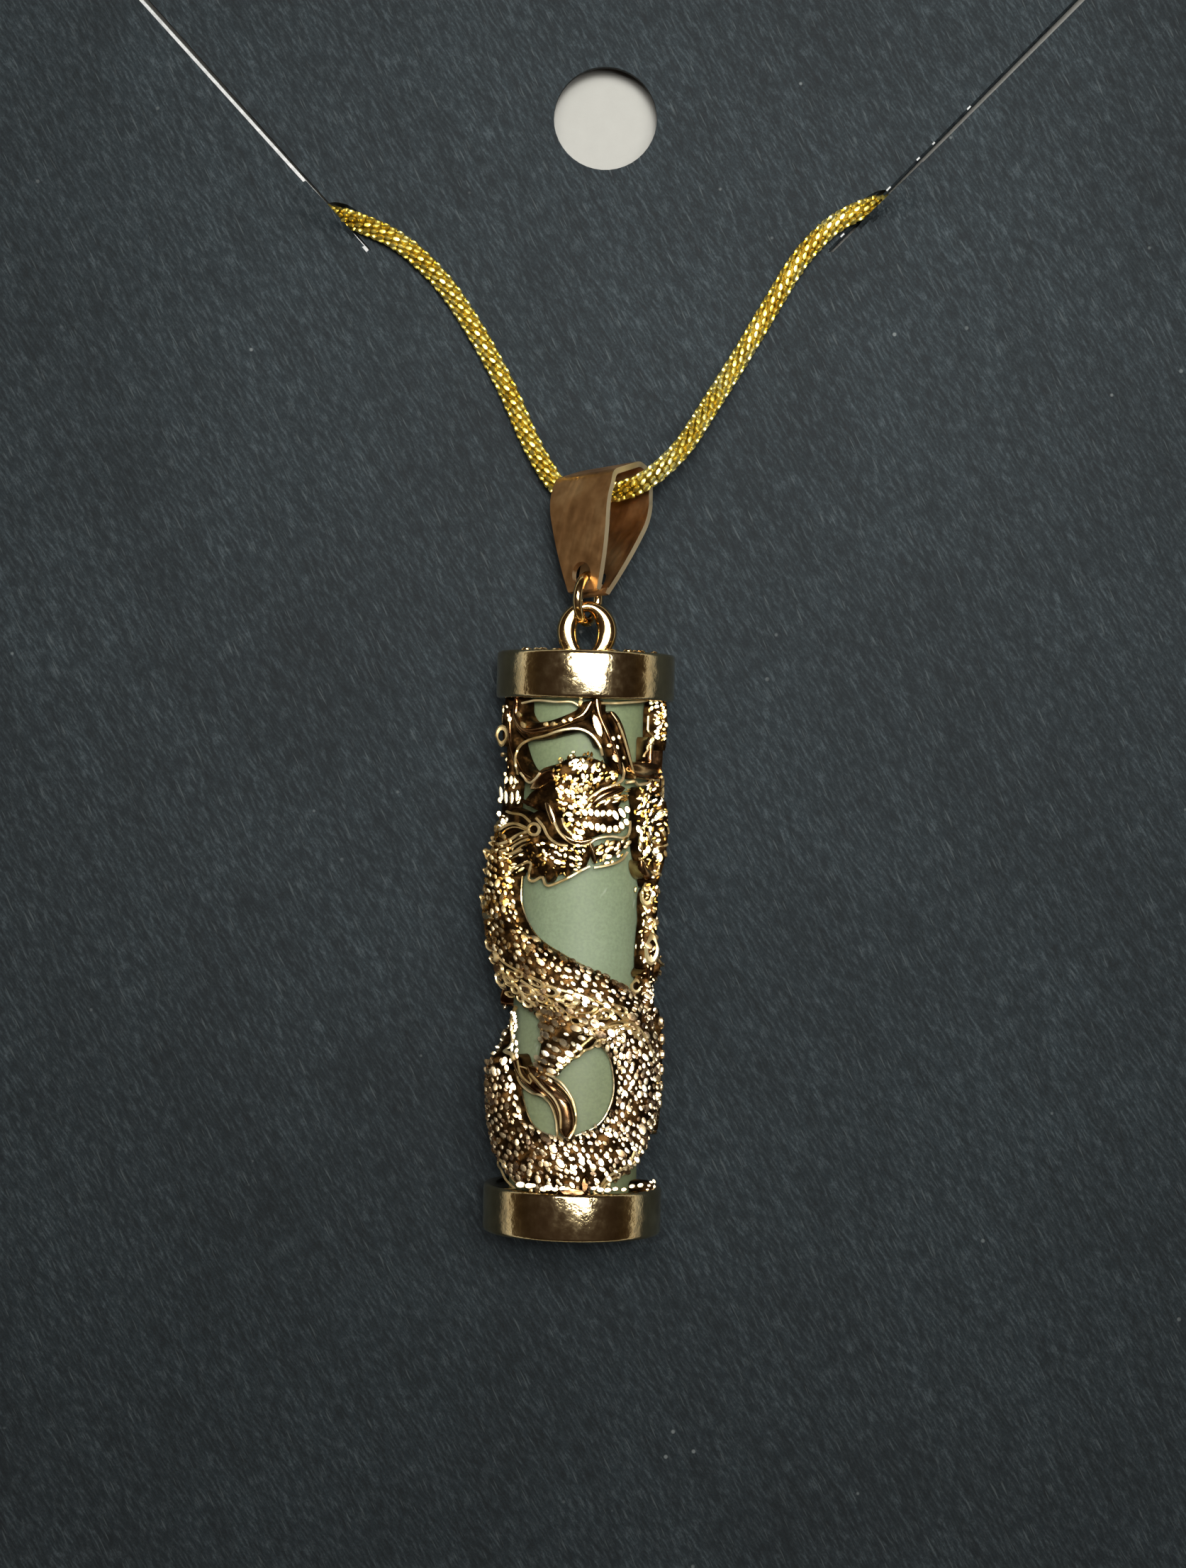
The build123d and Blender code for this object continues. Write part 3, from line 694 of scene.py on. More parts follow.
# %% [markdown]
# ## One pellet and one ring, modelled by hand
# The scales, teeth and tufts are all pellets of the same kind: a small ball, drawn out at one
# end like a drop. A low ball is added, its tail is picked in edit mode and narrowed, and then
# its corners are kept for the copies. A ring for the curls is made the same way from a torus.

# %% The pellet and the ring
def picked(test, mode="FACE"):
    """In edit mode, selects the faces, edges or corners whose middle passes a test."""
    mesh = bpy.context.edit_object.data
    bpy.ops.mesh.select_mode(type=mode)
    bpy.ops.mesh.select_all(action="DESELECT")
    form = bmesh.from_edit_mesh(mesh)
    for part in {"VERT": form.verts, "EDGE": form.edges, "FACE": form.faces}[mode]:
        if mode == "VERT":
            middle = part.co
        elif mode == "EDGE":
            middle = (part.verts[0].co + part.verts[1].co) / 2
        else:
            middle = part.calc_center_median()
        part.select_set(bool(test(part, middle)))
    form.select_flush_mode()
    bmesh.update_edit_mesh(mesh)


def kept_shape(piece):
    """The corners and faces of a small modelled shape, which itself goes away."""
    corners = np.array([corner.co for corner in piece.data.vertices])
    faces = [tuple(face.vertices) for face in piece.data.polygons]
    mesh = piece.data
    bpy.data.objects.remove(piece)
    bpy.data.meshes.remove(mesh)
    return corners, faces


bpy.ops.object.select_all(action="DESELECT")
bpy.ops.mesh.primitive_uv_sphere_add(segments=8, ring_count=6, radius=1.0)
bpy.ops.object.mode_set(mode="EDIT")
picked(lambda part, middle: middle.x < -0.45 and middle.z < 0.7, "VERT")
bpy.ops.transform.resize(value=(1.0, 0.66, 0.8))
picked(lambda part, middle: middle.z > 0.3, "VERT")
bpy.ops.transform.resize(value=(1.08, 1.08, 1.0))
picked(lambda part, middle: middle.z > 0.7, "VERT")
bpy.ops.transform.resize(value=(1.30, 1.30, 0.45))
bpy.ops.object.mode_set(mode="OBJECT")
PELLET = kept_shape(bpy.context.object)
bpy.ops.mesh.primitive_torus_add(major_segments=12, minor_segments=5, major_radius=0.74, minor_radius=0.26)
bpy.ops.object.mode_set(mode="EDIT")
picked(lambda part, middle: middle.x < -0.4, "VERT")
bpy.ops.transform.resize(value=(1.0, 0.7, 1.0))
bpy.ops.object.mode_set(mode="OBJECT")
LOOP = kept_shape(bpy.context.object)
print("pellet corners", len(PELLET[0]), "loop corners", len(LOOP[0]))


ROUND_ABOUT = np.array([1.0, 0.0, 0.0])
UPWARD = np.array([0.0, 1.0, 0.0])
OUTWARD = np.array([0.0, 0.0, 1.0])


def lay(pile, shape, place, along, across, size):
    """One copy of a small shape at a flat place (round, up, out)."""
    out = np.cross(along, across)
    corners, faces = shape
    pile.add(
        np.asarray(place) + corners[:, :1] * size[0] * along + corners[:, 1:2] * size[1] * across
        + corners[:, 2:] * size[2] * out,
        faces,
    )


def tilted(along, across, turn, lift):
    """Two directions turned within their plane, then with the forward end lifted."""
    out = np.cross(along, across)
    ahead = along * math.cos(turn) + across * math.sin(turn)
    aside = across * math.cos(turn) - along * math.sin(turn)
    return ahead * math.cos(lift) + out * math.sin(lift), aside


SIDE_FACING = 0.5


def faced(u, along, face, facing):
    """Two directions for a small shape whose face is turned part of the way to the front.

    Toward the sides the faces are turned further.
    """
    angle = u / MIDDLE_RADIUS
    facing += (1 - facing) * SIDE_FACING * math.sin(angle) ** 2
    if math.cos(angle) > 0.1:
        face = face * (1 - facing) + np.array([-math.sin(angle), 0.10, math.cos(angle)]) * facing
        face = face / np.linalg.norm(face)
    along = along - face * (along @ face)
    along = along / np.linalg.norm(along)
    return along, np.cross(face, along)


chance = random.Random(7)


def scales(pile, points, edge=0.5, span=(-0.95, 0.95), pitch=0.52, gap=0.41, size=(0.215, 0.12, 0.16),
           aim=None, lift=0.1, shape=None, jitter=0.26, missing=0.14, facing=0.72):
    """Rows of small shapes over the dome of a strand, each row half a step from the last.

    They point along the strand, or all the same way if an aim in degrees is given. The
    polishing wheel came from the front, so their tops lean that way: facing is how much.
    """
    line = even_line(points, pitch)
    travel, left = sideways(line)
    bend = np.linspace(math.acos(span[1]), math.acos(span[0]), 60)
    for k, (u, v, half, rise) in enumerate(line):
        height = rise - min(edge, rise)
        side = half * np.cos(bend)
        over = height * np.sin(bend) ** FLATNESS
        arc = np.concatenate([[0.0], np.cumsum(np.hypot(np.diff(side), np.diff(over)))])
        count = max(1, int(round(arc[-1] / gap)))
        shift = 0.25 if k % 2 else 0.75
        for j in range(count):
            if chance.random() < missing:
                continue
            at = (j + shift + chance.gauss(0, jitter / 2)) / count * arc[-1]
            share = float(np.interp(at, arc, side))
            bulge = float(np.interp(at, arc, over))
            slope = np.array([np.interp(at, arc, np.gradient(way, arc)) for way in (side, over)])
            slope /= -np.linalg.norm(slope)
            step = chance.gauss(0, jitter * 0.3) * pitch
            place = (
                u + left[k][0] * share + travel[k][0] * step,
                v + left[k][1] * share + travel[k][1] * step,
                min(edge, rise) + bulge,
            )
            across = np.array([left[k][0] * slope[0], left[k][1] * slope[0], slope[1]])
            along = np.array([travel[k][0], travel[k][1], 0.0])
            face = np.cross(along, across)
            if aim is not None:
                along = pointing(aim)
            along, across = faced(place[0], along, face, facing)
            ahead, aside = tilted(along, across, chance.gauss(0, jitter), lift + chance.gauss(0, jitter / 3))
            grow = math.exp(chance.gauss(0, jitter * 0.9))
            lay(pile, shape or PELLET, place, ahead, aside, [s * grow for s in size])


def drop(pile, start, end, width, out, thick=None, facing=0.5):
    """One pellet from a flat place to another, its thin end at the start.

    A height for out holds for both ends. Two heights tilt the pellet.
    """
    heights = out if isinstance(out, tuple) else (out, out)
    start, end = np.array([*start, heights[0]]), np.array([*end, heights[1]])
    along = end - start
    length = np.linalg.norm(along)
    along /= length
    across = np.array([-along[1], along[0], 0.0])
    across /= np.linalg.norm(across)
    along, across = faced(start[0], along, np.cross(along, across), facing)
    lay(pile, PELLET, (start + end) / 2, along, across, (length / 2, width / 2, thick or width / 2))


# %% [markdown]
# ## The body
# The body comes from behind the head, crosses the front from upper left to lower right, turns
# round a drop-shaped window, sweeps along the bottom cap and goes up and round the back. It is
# a domed strand whose near-black gold between the scales is painted shade, and the scales are
# rows of pellets over it.

# %% Body strands
BODY_FRONT = [
    # degrees, level, half width, rise
    (-64, 0.72, 1.25, 1.45), (-76, 0.645, 1.50, 1.80), (-77, 0.56, 1.70, 1.85), (-54, 0.468, 1.95, 1.55),
    (-19, 0.416, 1.95, 1.45), (10, 0.383, 1.90, 1.40), (35, 0.347, 1.85, 1.42), (53, 0.285, 1.90, 1.46),
    (58, 0.19, 1.95, 1.46), (40, 0.105, 1.75, 1.36), (10, 0.060, 1.72, 1.30), (-20, 0.055, 1.70, 1.30),
    (-50, 0.090, 1.66, 1.42), (-69, 0.17, 1.70, 1.56), (-74, 0.25, 1.55, 1.50),
]
BODY_BACK = [
    (-74, 0.24, 1.35, 1.35), (-96, 0.235, 1.10, 1.02), (-118, 0.270, 1.15, 0.98), (-150, 0.34, 1.30, 1.06),
    (-185, 0.36, 1.30, 1.04), (-225, 0.40, 1.15, 1.06), (-262, 0.46, 0.90, 1.16),
]


def laid_out(rows):
    """Rows (degrees, level, half width, rise) as flat points."""
    return [(*turned(degrees, level), half, rise) for degrees, level, half, rise in rows]


def pixel_rows(rows):
    """Rows (pixel across, pixel down, half width, rise) as flat points."""
    return [(*seen(px, py, rise), half, rise) for px, py, half, rise in rows]


def pixel_strand(pile, edge, rows, section=DOME):
    """A strand along rows (pixel across, pixel down, half width, rise)."""
    strand(pile, pixel_rows(rows), edge, section)


# steps and reaches in pixels of the photo
WIRE_STEP = 5.0
RING_REACH = 6.0
# pixels to a millimetre of a pellet's width, and to a half of its length
PIXELS_APART = 21
HALF_IN_PIXELS = 11.6
RING_GROWTH = 1.15
TRIES = 25
# how high a pellet's middle rests over the strands, in millimetres
REST = 0.02


def on_surface(px, py, lowest, lift=0.0):
    """The place (round, up, out) where a pixel meets what has been laid so far."""
    out = 1.2
    for _ in range(4):
        u, v = seen(px, py, out)
        out = 0.5 * out + 0.5 * max(lowest, height_at(u, v) + lift)
    return (u, v, max(lowest, height_at(u, v) + lift))


def pixel_wires(pile, lowest, rows):
    """Wires from rows (radius, pixels), laid on the strands or at a lowest height."""
    for thick, *pixels in rows:
        places = [on_surface(px, py, lowest, thick * 0.4) for px, py in even_line(pixels, WIRE_STEP)]
        heights = np.array([place[2] for place in places])
        smooth = np.convolve(np.pad(heights, 1, mode="edge"), (0.25, 0.5, 0.25), mode="valid")
        wire(pile, [(u, v, max(out, even)) for (u, v, out), even in zip(places, smooth)], thick)


def pixel_drops(pile, lowest, rows):
    """Pellets from rows (start pixel, end pixel, width), laid on the strands."""
    for x1, y1, x2, y2, width in rows:
        start, end = on_surface(x1, y1, lowest, REST), on_surface(x2, y2, lowest, REST)
        drop(pile, start[:2], end[:2], width, (start[2], end[2]))


def pixel_loops(pile, lowest, rows):
    """Rings from rows (middle pixel, half length, half width, degrees from level)."""
    for px, py, half_length, half_width, degrees in rows:
        reach = RING_REACH * np.array([math.cos(math.radians(degrees)), -math.sin(math.radians(degrees))])
        start = np.array(on_surface(px - reach[0], py - reach[1], lowest))
        end = np.array(on_surface(px + reach[0], py + reach[1], lowest))
        along = end - start
        along /= np.linalg.norm(along)
        middle = np.array(on_surface(px, py, lowest, 0.05))
        across = np.array([-along[1], along[0], 0.0])
        across /= np.linalg.norm(across)
        lay(pile, LOOP, middle, along, across, (half_length * RING_GROWTH, half_width * RING_GROWTH, 0.6))


def strewn(pile, lowest, outline, count, length, width, aim, wander=25, facing=0.7):
    """Pellets at chance places inside an outline of pixels, none of them crowded.

    Length and width are in millimetres. They point along the aim, in degrees from level, and
    wander off it by a few degrees. The tries end when there are as many as the count.
    """
    xs, ys = zip(*outline)
    placed = []
    for _ in range(count * TRIES):
        px, py = chance.uniform(min(xs), max(xs)), chance.uniform(min(ys), max(ys))
        crossings = sum(1 for (x1, y1), (x2, y2) in zip(outline, outline[1:] + outline[:1])
                        if (y1 > py) != (y2 > py) and px < (x2 - x1) * (py - y1) / (y2 - y1) + x1)
        if crossings % 2 == 0 or any(math.hypot(px - x, py - y) < PIXELS_APART * width for x, y in placed):
            continue
        placed.append((px, py))
        lean, grow = math.radians(aim + chance.gauss(0, wander)), math.exp(chance.gauss(0, 0.22))
        reach = HALF_IN_PIXELS * length * grow * np.array([math.cos(lean), -math.sin(lean)])
        start = np.array(on_surface(px - reach[0], py - reach[1], lowest, REST))
        end = np.array(on_surface(px + reach[0], py + reach[1], lowest, REST))
        middle, half = (start + end) / 2, end - start
        half *= 0.5 * length * grow / np.linalg.norm(half)
        start, end = middle - half, middle + half
        drop(pile, start[:2], end[:2], width * grow, (start[2], end[2]), width * 0.7, facing=facing)
        if len(placed) == count:
            break


EDGE_SHARE = 0.99
SLIM_SHARE = 0.93


def edge_lines(pile, points, out, thick):
    """Pale wires just inside both edges of a strand."""
    line = even_line(points, 0.3)
    left = sideways(line)[1]
    for side in (1, -1):
        beside = [
            (u + left[k][0] * half * EDGE_SHARE * side, v + left[k][1] * half * EDGE_SHARE * side, out)
            for k, (u, v, half, rise) in enumerate(line)
        ]
        wire(pile, beside, thick, sides=5, pitch=0.25)


def slimmer(points):
    """The same line with a little less half width, so that scales overhang its edges."""
    return [(u, v, half * SLIM_SHARE, rise) for u, v, half, rise in points]


# strands under the scales, in the near-black gold of painted shade
hollow = Pile()
strand(hollow, slimmer(laid_out(BODY_FRONT)), edge=0.30)
strand(hollow, slimmer(laid_out(BODY_BACK)), edge=0.30)

# %% Scales
front_scales = Pile()
back_scales = Pile()
amber = Pile()
crossing = laid_out(BODY_FRONT[:7])
right_turn = laid_out(BODY_FRONT[6:10])
sweep = laid_out(BODY_FRONT[9:])
scales(front_scales, crossing, edge=0.30, span=(-0.12, 0.995), aim=-48)
scales(front_scales, right_turn, edge=0.30, span=(-0.995, 0.995), aim=-76)
scales(front_scales, sweep, edge=0.30, span=(-0.995, 0.995), aim=-60)
scales(back_scales, laid_out(BODY_BACK), edge=0.30, pitch=0.60, gap=0.50)
for part, aim in ((crossing, -48), (right_turn, -76), (sweep, -60)):
    scales(
        amber, part, edge=0.30, span=(-0.98, 0.99), pitch=0.44, gap=0.44, size=(0.19, 0.12, 0.12),
        aim=aim, jitter=0.35, missing=0.2, facing=0.5,
    )
print("scales laid:", front_scales.count // len(PELLET[0]), "and", back_scales.count // len(PELLET[0]))

# %% [markdown]
# ## The crest
# The lower side of the crossing is the dragon's back. Its crest is a field of small curls:
# rings with dark middles, and long pale lines between them.

# %% Crest
crest = Pile()
rims = Pile()

edge_lines(crest, laid_out(BODY_FRONT), out=0.16, thick=0.054)
pixel_loops(rims, 0.5, [
    (690, 1322, 0.36, 0.30, -60), (701, 1350, 0.34, 0.28, -50), (706, 1366, 0.38, 0.30, -40),
    (718, 1381, 0.42, 0.28, -40), (733, 1374, 0.28, 0.22, -30), (743, 1396, 0.44, 0.26, -35),
    (757, 1386, 0.50, 0.22, -32), (764, 1408, 0.42, 0.26, -30), (776, 1399, 0.48, 0.30, -18),
    (800, 1411, 0.62, 0.30, -10), (786, 1424, 0.40, 0.24, -25), (826, 1425, 0.66, 0.26, 14),
    (852, 1432, 0.46, 0.30, 20), (868, 1446, 0.74, 0.25, 10), (846, 1412, 0.44, 0.22, -25),
    (875, 1424, 0.46, 0.22, -38), (744, 1414, 0.36, 0.26, -50), (812, 1440, 0.40, 0.24, -20),
    (893, 1450, 0.44, 0.24, -50), (728, 1396, 0.32, 0.24, -45),
])
scales(
    rims, crossing, edge=0.30, span=(-0.98, -0.16), pitch=0.84, gap=0.60, size=(0.44, 0.24, 0.50),
    aim=-30, shape=LOOP, missing=0.3, facing=0.4,
)
pixel_wires(rims, 0.6, [
    (0.092, (742, 1374), (770, 1389), (800, 1399), (822, 1405), (850, 1417), (876, 1432), (900, 1450),
     (914, 1472), (922, 1496)),
    (0.081, (735, 1383), (760, 1400), (780, 1416), (792, 1434)),
    (0.101, (706, 1368), (728, 1390), (741, 1408), (756, 1420), (762, 1440), (763, 1464)),
    (0.072, (772, 1420), (790, 1412), (814, 1404), (836, 1412)),
    (0.072, (832, 1436), (852, 1422), (874, 1432), (896, 1462)),
    (0.072, (690, 1330), (700, 1345), (712, 1358), (728, 1368), (744, 1376)),
])

# %% [markdown]
# ## The hind leg
# A scaled thigh hangs from the crossing between two windows, and ends in long smooth claws
# that curl down over the lower body. Claws and their sinews are smooth and bright, so they go
# in a pile of their own with the other polished parts.

# %% Leg and claws
polished = Pile()
beads = Pile()

THIGH = [(800, 1436, 1.70, 1.38), (789, 1466, 1.20, 1.42), (774, 1496, 0.80, 1.40), (764, 1520, 0.55, 1.30)]
pixel_strand(hollow, 0.5, THIGH)
scales(
    front_scales, pixel_rows(THIGH), edge=0.5, span=(-0.97, 0.97), pitch=0.50, gap=0.42,
    size=(0.30, 0.18, 0.22), aim=-42, lift=0.3,
)
pixel_strand(polished, 0.7, [
    (744, 1504, 0.30, 1.30), (756, 1522, 0.44, 1.42), (776, 1540, 0.52, 1.50), (791, 1558, 0.54, 1.52),
    (798, 1582, 0.52, 1.48), (798, 1604, 0.40, 1.40),
])
pixel_strand(polished, 0.6, [
    (722, 1488, 0.26, 1.20), (728, 1508, 0.30, 1.28), (741, 1526, 0.30, 1.32), (756, 1538, 0.28, 1.34),
    (768, 1546, 0.20, 1.30),
])
pixel_wires(rims, 0.6, [
    (0.076, (770, 1514), (790, 1526), (806, 1548), (812, 1570), (811, 1590), (803, 1606)),
    (0.061, (748, 1514), (766, 1534), (781, 1549), (790, 1569), (791, 1592)),
    (0.081, (726, 1510), (732, 1527), (746, 1540), (765, 1546), (777, 1560), (784, 1580), (786, 1600),
     (793, 1609)),
    (0.061, (730, 1496), (734, 1514), (744, 1526), (750, 1528), (744, 1514), (738, 1504)),
])
drop(polished, seen(806, 1560, 1.62), seen(761, 1521, 1.62), 0.42, 1.60, 0.16)
pixel_strand(hollow, 0.4, [
    (782, 1508, 0.30, 0.9), (806, 1488, 0.34, 1.0), (830, 1471, 0.34, 1.05), (850, 1458, 0.3, 1.1),
    (872, 1450, 0.34, 1.2), (892, 1452, 0.4, 1.25),
])
pixel_wires(rims, 0.6, [
    (0.10, (780, 1519), (789, 1506), (798, 1501), (806, 1493), (816, 1490), (824, 1482), (835, 1478),
     (842, 1469), (853, 1464), (862, 1457), (873, 1458), (884, 1450), (896, 1452)),
    (0.095, (786, 1502), (800, 1490), (813, 1482), (828, 1469), (842, 1458), (858, 1449), (874, 1446),
     (892, 1456), (908, 1474)),
])
pixel_wires(rims, 0.45, [
    (0.13, (726, 1420), (721, 1434), (720, 1450), (722, 1466), (720, 1480), (725, 1496)),
])
strewn(beads, 0.6, [
    (716, 1428), (725, 1424), (727, 1466), (729, 1496), (720, 1498), (716, 1470),
], 14, 0.36, 0.2, 80, 20, 0.9)
pixel_drops(beads, 0.6, [
    (689, 1504, 697, 1516, 0.46), (709, 1494, 716, 1502, 0.34), (684, 1534, 701, 1539, 0.40),
    (687, 1545, 693, 1556, 0.40), (713, 1530, 719, 1538, 0.32), (681, 1288, 697, 1296, 0.50),
    (682, 1266, 690, 1278, 0.42), (688, 1312, 694, 1326, 0.42), (708, 1258, 718, 1274, 0.36),
    (736, 1640, 742, 1654, 0.42), (806, 1642, 810, 1654, 0.40), (832, 1640, 840, 1652, 0.42),
    (768, 1636, 774, 1648, 0.40), (818, 1632, 824, 1646, 0.34), (762, 1620, 768, 1630, 0.34),
])

# %% [markdown]
# ## Edges of the lower body
# Where the body meets the open windows and the bottom cap, the cast edge shows as thin pale
# lines, and the outer right side carries a row of small rings.

# %% Lower edges
pixel_wires(rims, 0.6, [
    (0.086, (689, 1608), (696, 1628), (711, 1642), (719, 1660), (735, 1674)),
    (0.072, (684, 1612), (690, 1632), (704, 1648), (712, 1664), (728, 1680)),
    (0.092, (897, 1620), (886, 1644), (868, 1654), (856, 1662), (846, 1678)),
])
pixel_wires(rims, 0.95, [
    (0.081, (904, 1620), (894, 1642), (880, 1656), (864, 1664), (854, 1672), (850, 1684)),
])
pixel_wires(rims, 0.85, [(0.072, (842, 1672), (838, 1682), (846, 1686))])
OUTER_EDGE = laid_out([
    (72, 0.37, 0.40, 1.20), (80, 0.31, 0.60, 1.30), (84, 0.25, 0.62, 1.32), (83, 0.18, 0.55, 1.30),
    (76, 0.12, 0.45, 1.25),
])
strand(hollow, OUTER_EDGE, edge=0.30)
for degrees, level, half_length, half_width in (
    (76, 0.340, 0.44, 0.26), (79, 0.306, 0.40, 0.32), (81, 0.274, 0.34, 0.26), (81, 0.242, 0.40, 0.30),
    (81, 0.208, 0.38, 0.32), (79, 0.174, 0.40, 0.32), (75, 0.148, 0.36, 0.32),
):
    u, v = turned(degrees, level)
    along, across = np.array([0.3, -0.95, 0.0]), np.array([0.95, 0.3, 0.0])
    lay(crest, LOOP, (u, v, height_at(u, v) - 0.02), along, across, (half_length, half_width, 0.8))
print("polished corners", polished.count, "rim corners", rims.count)

# %% [markdown]
# ## The head
# The head looks to the right. From the top it has a brow of spiky pellets, a smooth brown
# cheek, an upper lip that curls over the snout, two rows of teeth with a dark mouth between
# them, and a jaw drawn in two pale lines. Its base is a few low strands in the near-black
# painted shade of the hollows, which also makes the dark mouth, and every detail is laid over them.

# %% Head base
HEAD_STRANDS = [
    # rows of (pixel across, pixel down, half width, rise)
    [(752, 1104, 0.75, 1.05), (786, 1098, 0.90, 1.30), (826, 1092, 0.95, 1.38), (862, 1092, 0.55, 1.20)],
    [(742, 1128, 0.55, 1.00), (782, 1128, 0.85, 1.25), (812, 1134, 0.70, 1.20)],
    [(806, 1160, 0.62, 0.85), (842, 1150, 0.78, 0.80), (878, 1148, 0.66, 0.80)],
    [(742, 1160, 0.75, 1.00), (778, 1164, 0.85, 1.15), (808, 1176, 0.62, 1.20), (826, 1182, 0.40, 1.15)],
    [(712, 1150, 0.60, 0.95), (735, 1168, 0.85, 1.05), (750, 1196, 0.90, 1.05)],
]
HEAD_BACKING = [
    [(790, 1100, 0.9, 0.95), (842, 1102, 0.8, 0.95), (872, 1098, 0.5, 0.9)],
    [(760, 1130, 1.0, 0.90), (820, 1136, 1.1, 0.90), (858, 1128, 0.9, 0.75), (878, 1124, 0.6, 0.7)],
    [(752, 1168, 1.3, 0.90), (800, 1164, 1.1, 0.85), (846, 1158, 0.85, 0.70), (878, 1150, 0.6, 0.7)],
    [(728, 1204, 0.8, 1.00), (760, 1210, 1.15, 1.00), (790, 1207, 1.05, 1.00), (816, 1203, 0.7, 0.9)],
]
# the head's base strands wear the near-black painted shade of the hollows
for rows in HEAD_STRANDS + HEAD_BACKING:
    pixel_strand(hollow, 0.40, rows)
cheek = pixel_rows([
    (748, 1112, 0.30, 1.22), (760, 1101, 0.44, 1.36), (774, 1094, 0.42, 1.40), (784, 1100, 0.3, 1.36),
])
strand(polished, cheek, edge=0.9)
pixel_strand(polished, 0.8, [(768, 1122, 0.20, 1.1), (774, 1142, 0.28, 1.25), (782, 1164, 0.22, 1.2)])

# %% Brow spikes
brow = pixel_rows([
    (782, 1102, 0.50, 1.30), (800, 1088, 0.72, 1.42), (826, 1086, 0.80, 1.48), (852, 1090, 0.60, 1.42),
    (866, 1096, 0.35, 1.3),
])
strand(hollow, brow, edge=0.6)
strewn(beads, 0.6, [
    (780, 1090), (790, 1070), (806, 1062), (830, 1068), (850, 1080), (866, 1088), (862, 1104),
    (838, 1108), (814, 1114), (796, 1106),
], 36, 0.42, 0.21, 72, 24)
strewn(amber, 0.6, [
    (778, 1092), (790, 1066), (806, 1058), (832, 1062), (852, 1072), (872, 1088), (864, 1108),
    (838, 1112), (828, 1150), (828, 1180), (806, 1186), (788, 1150), (784, 1114),
], 110, 0.34, 0.16, 72, 40, 0.6)
strewn(beads, 0.6, [
    (784, 1114), (800, 1108), (820, 1112), (828, 1128), (822, 1144), (806, 1152), (792, 1142),
], 24, 0.44, 0.28, -40, 35)
strewn(beads, 0.6, [
    (800, 1150), (816, 1146), (824, 1160), (828, 1178), (812, 1186), (802, 1172),
], 9, 0.44, 0.30, -30, 35)
strewn(amber, 0.6, [
    (832, 1128), (846, 1110), (872, 1102), (888, 1104), (888, 1132), (860, 1136), (838, 1140),
], 30, 0.50, 0.14, 22, 16, 0.5)
strewn(crest, 0.6, [
    (832, 1128), (846, 1112), (872, 1106), (886, 1108), (886, 1130), (860, 1134), (838, 1138),
], 16, 0.60, 0.16, 22, 12)

# %% Lip, teeth and jaw
pixel_wires(rims, 0.6, [
    (0.092, (823, 1137), (834, 1124), (850, 1114), (868, 1107), (879, 1100), (881, 1088), (877, 1076)),
    (0.072, (826, 1142), (838, 1131), (856, 1126), (874, 1124), (886, 1128)),
])
pixel_strand(polished, 0.6, [
    (836, 1134, 0.22, 1.10), (852, 1122, 0.28, 1.22), (870, 1115, 0.28, 1.22), (882, 1112, 0.2, 1.1),
])
UPPER_TEETH = [(824, 1140, 826, 1152), (833, 1139, 834, 1152), (842, 1141, 843, 1154), (850, 1142, 851, 1156),
               (859, 1141, 860, 1156), (868, 1141, 869, 1156), (877, 1138, 879, 1152), (885, 1136, 886, 1147)]
LOWER_TEETH = [(826, 1170, 825, 1158), (834, 1173, 833, 1160), (843, 1175, 843, 1160), (851, 1176, 851, 1162),
               (860, 1177, 860, 1162), (869, 1176, 869, 1163), (877, 1172, 877, 1160), (884, 1166, 884, 1156)]
for x1, y1, x2, y2 in UPPER_TEETH + LOWER_TEETH:
    lean = chance.gauss(0, 2.0)
    drop(beads, seen(x2 + lean, y2 + lean, 1.1), seen(x1 - lean, y1, 1.1), 0.38, 1.06, 0.24, facing=0.8)
pixel_drops(beads, 0.6, [
    (846, 1166, 862, 1172, 0.30), (862, 1170, 876, 1174, 0.28), (812, 1172, 826, 1176, 0.46),
])
pixel_wires(rims, 0.6, [
    (0.086, (782, 1160), (789, 1174), (803, 1187), (818, 1193), (831, 1190), (842, 1183), (862, 1180),
     (882, 1182), (889, 1174), (890, 1158)),
    (0.086, (756, 1154), (766, 1166), (773, 1180), (787, 1191), (801, 1193)),
    (0.081, (793, 1154), (797, 1166), (808, 1178), (820, 1184)),
])
pixel_strand(polished, 0.6, [
    (786, 1168, 0.18, 1.10), (800, 1182, 0.22, 1.20), (818, 1188, 0.20, 1.18), (836, 1184, 0.16, 1.1),
])

# %% [markdown]
# ## Mane and beard
# Behind the head the mane breaks into a ribbed tuft, a little curl and a fan of locks, and the
# beard hangs in points over the big window. The locks are low strands with pale wires along
# them.

# %% Mane
for x1, y1, x2, y2 in [
    (709, 1134, 707, 1106), (715, 1138, 714, 1112), (713, 1108, 716, 1094), (722, 1138, 723, 1114),
    (721, 1110, 722, 1092), (729, 1134, 731, 1112), (728, 1108, 726, 1096),
]:
    drop(beads, seen(x1, y1, 1.15), seen(x2, y2, 1.15), 0.28, 1.18, 0.26, facing=0.8)
strewn(beads, 0.7, [
    (706, 1100), (716, 1090), (730, 1100), (732, 1136), (708, 1136),
], 12, 0.36, 0.20, 80, 15, 0.8)
TURNS = np.linspace(0, 2 * math.pi, 9)
curl = [(*seen(753 + 8 * math.cos(turn), 1170 + 8 * math.sin(turn), 1.35), 1.35) for turn in TURNS]
wire(rims, curl, 0.10)
pixel_wires(rims, 0.6, [(0.085, (704, 1140), (720, 1147), (736, 1150), (748, 1160))])
drop(polished, seen(756, 1139, 1.3), seen(736, 1128, 1.3), 0.3, 1.3, 0.2)
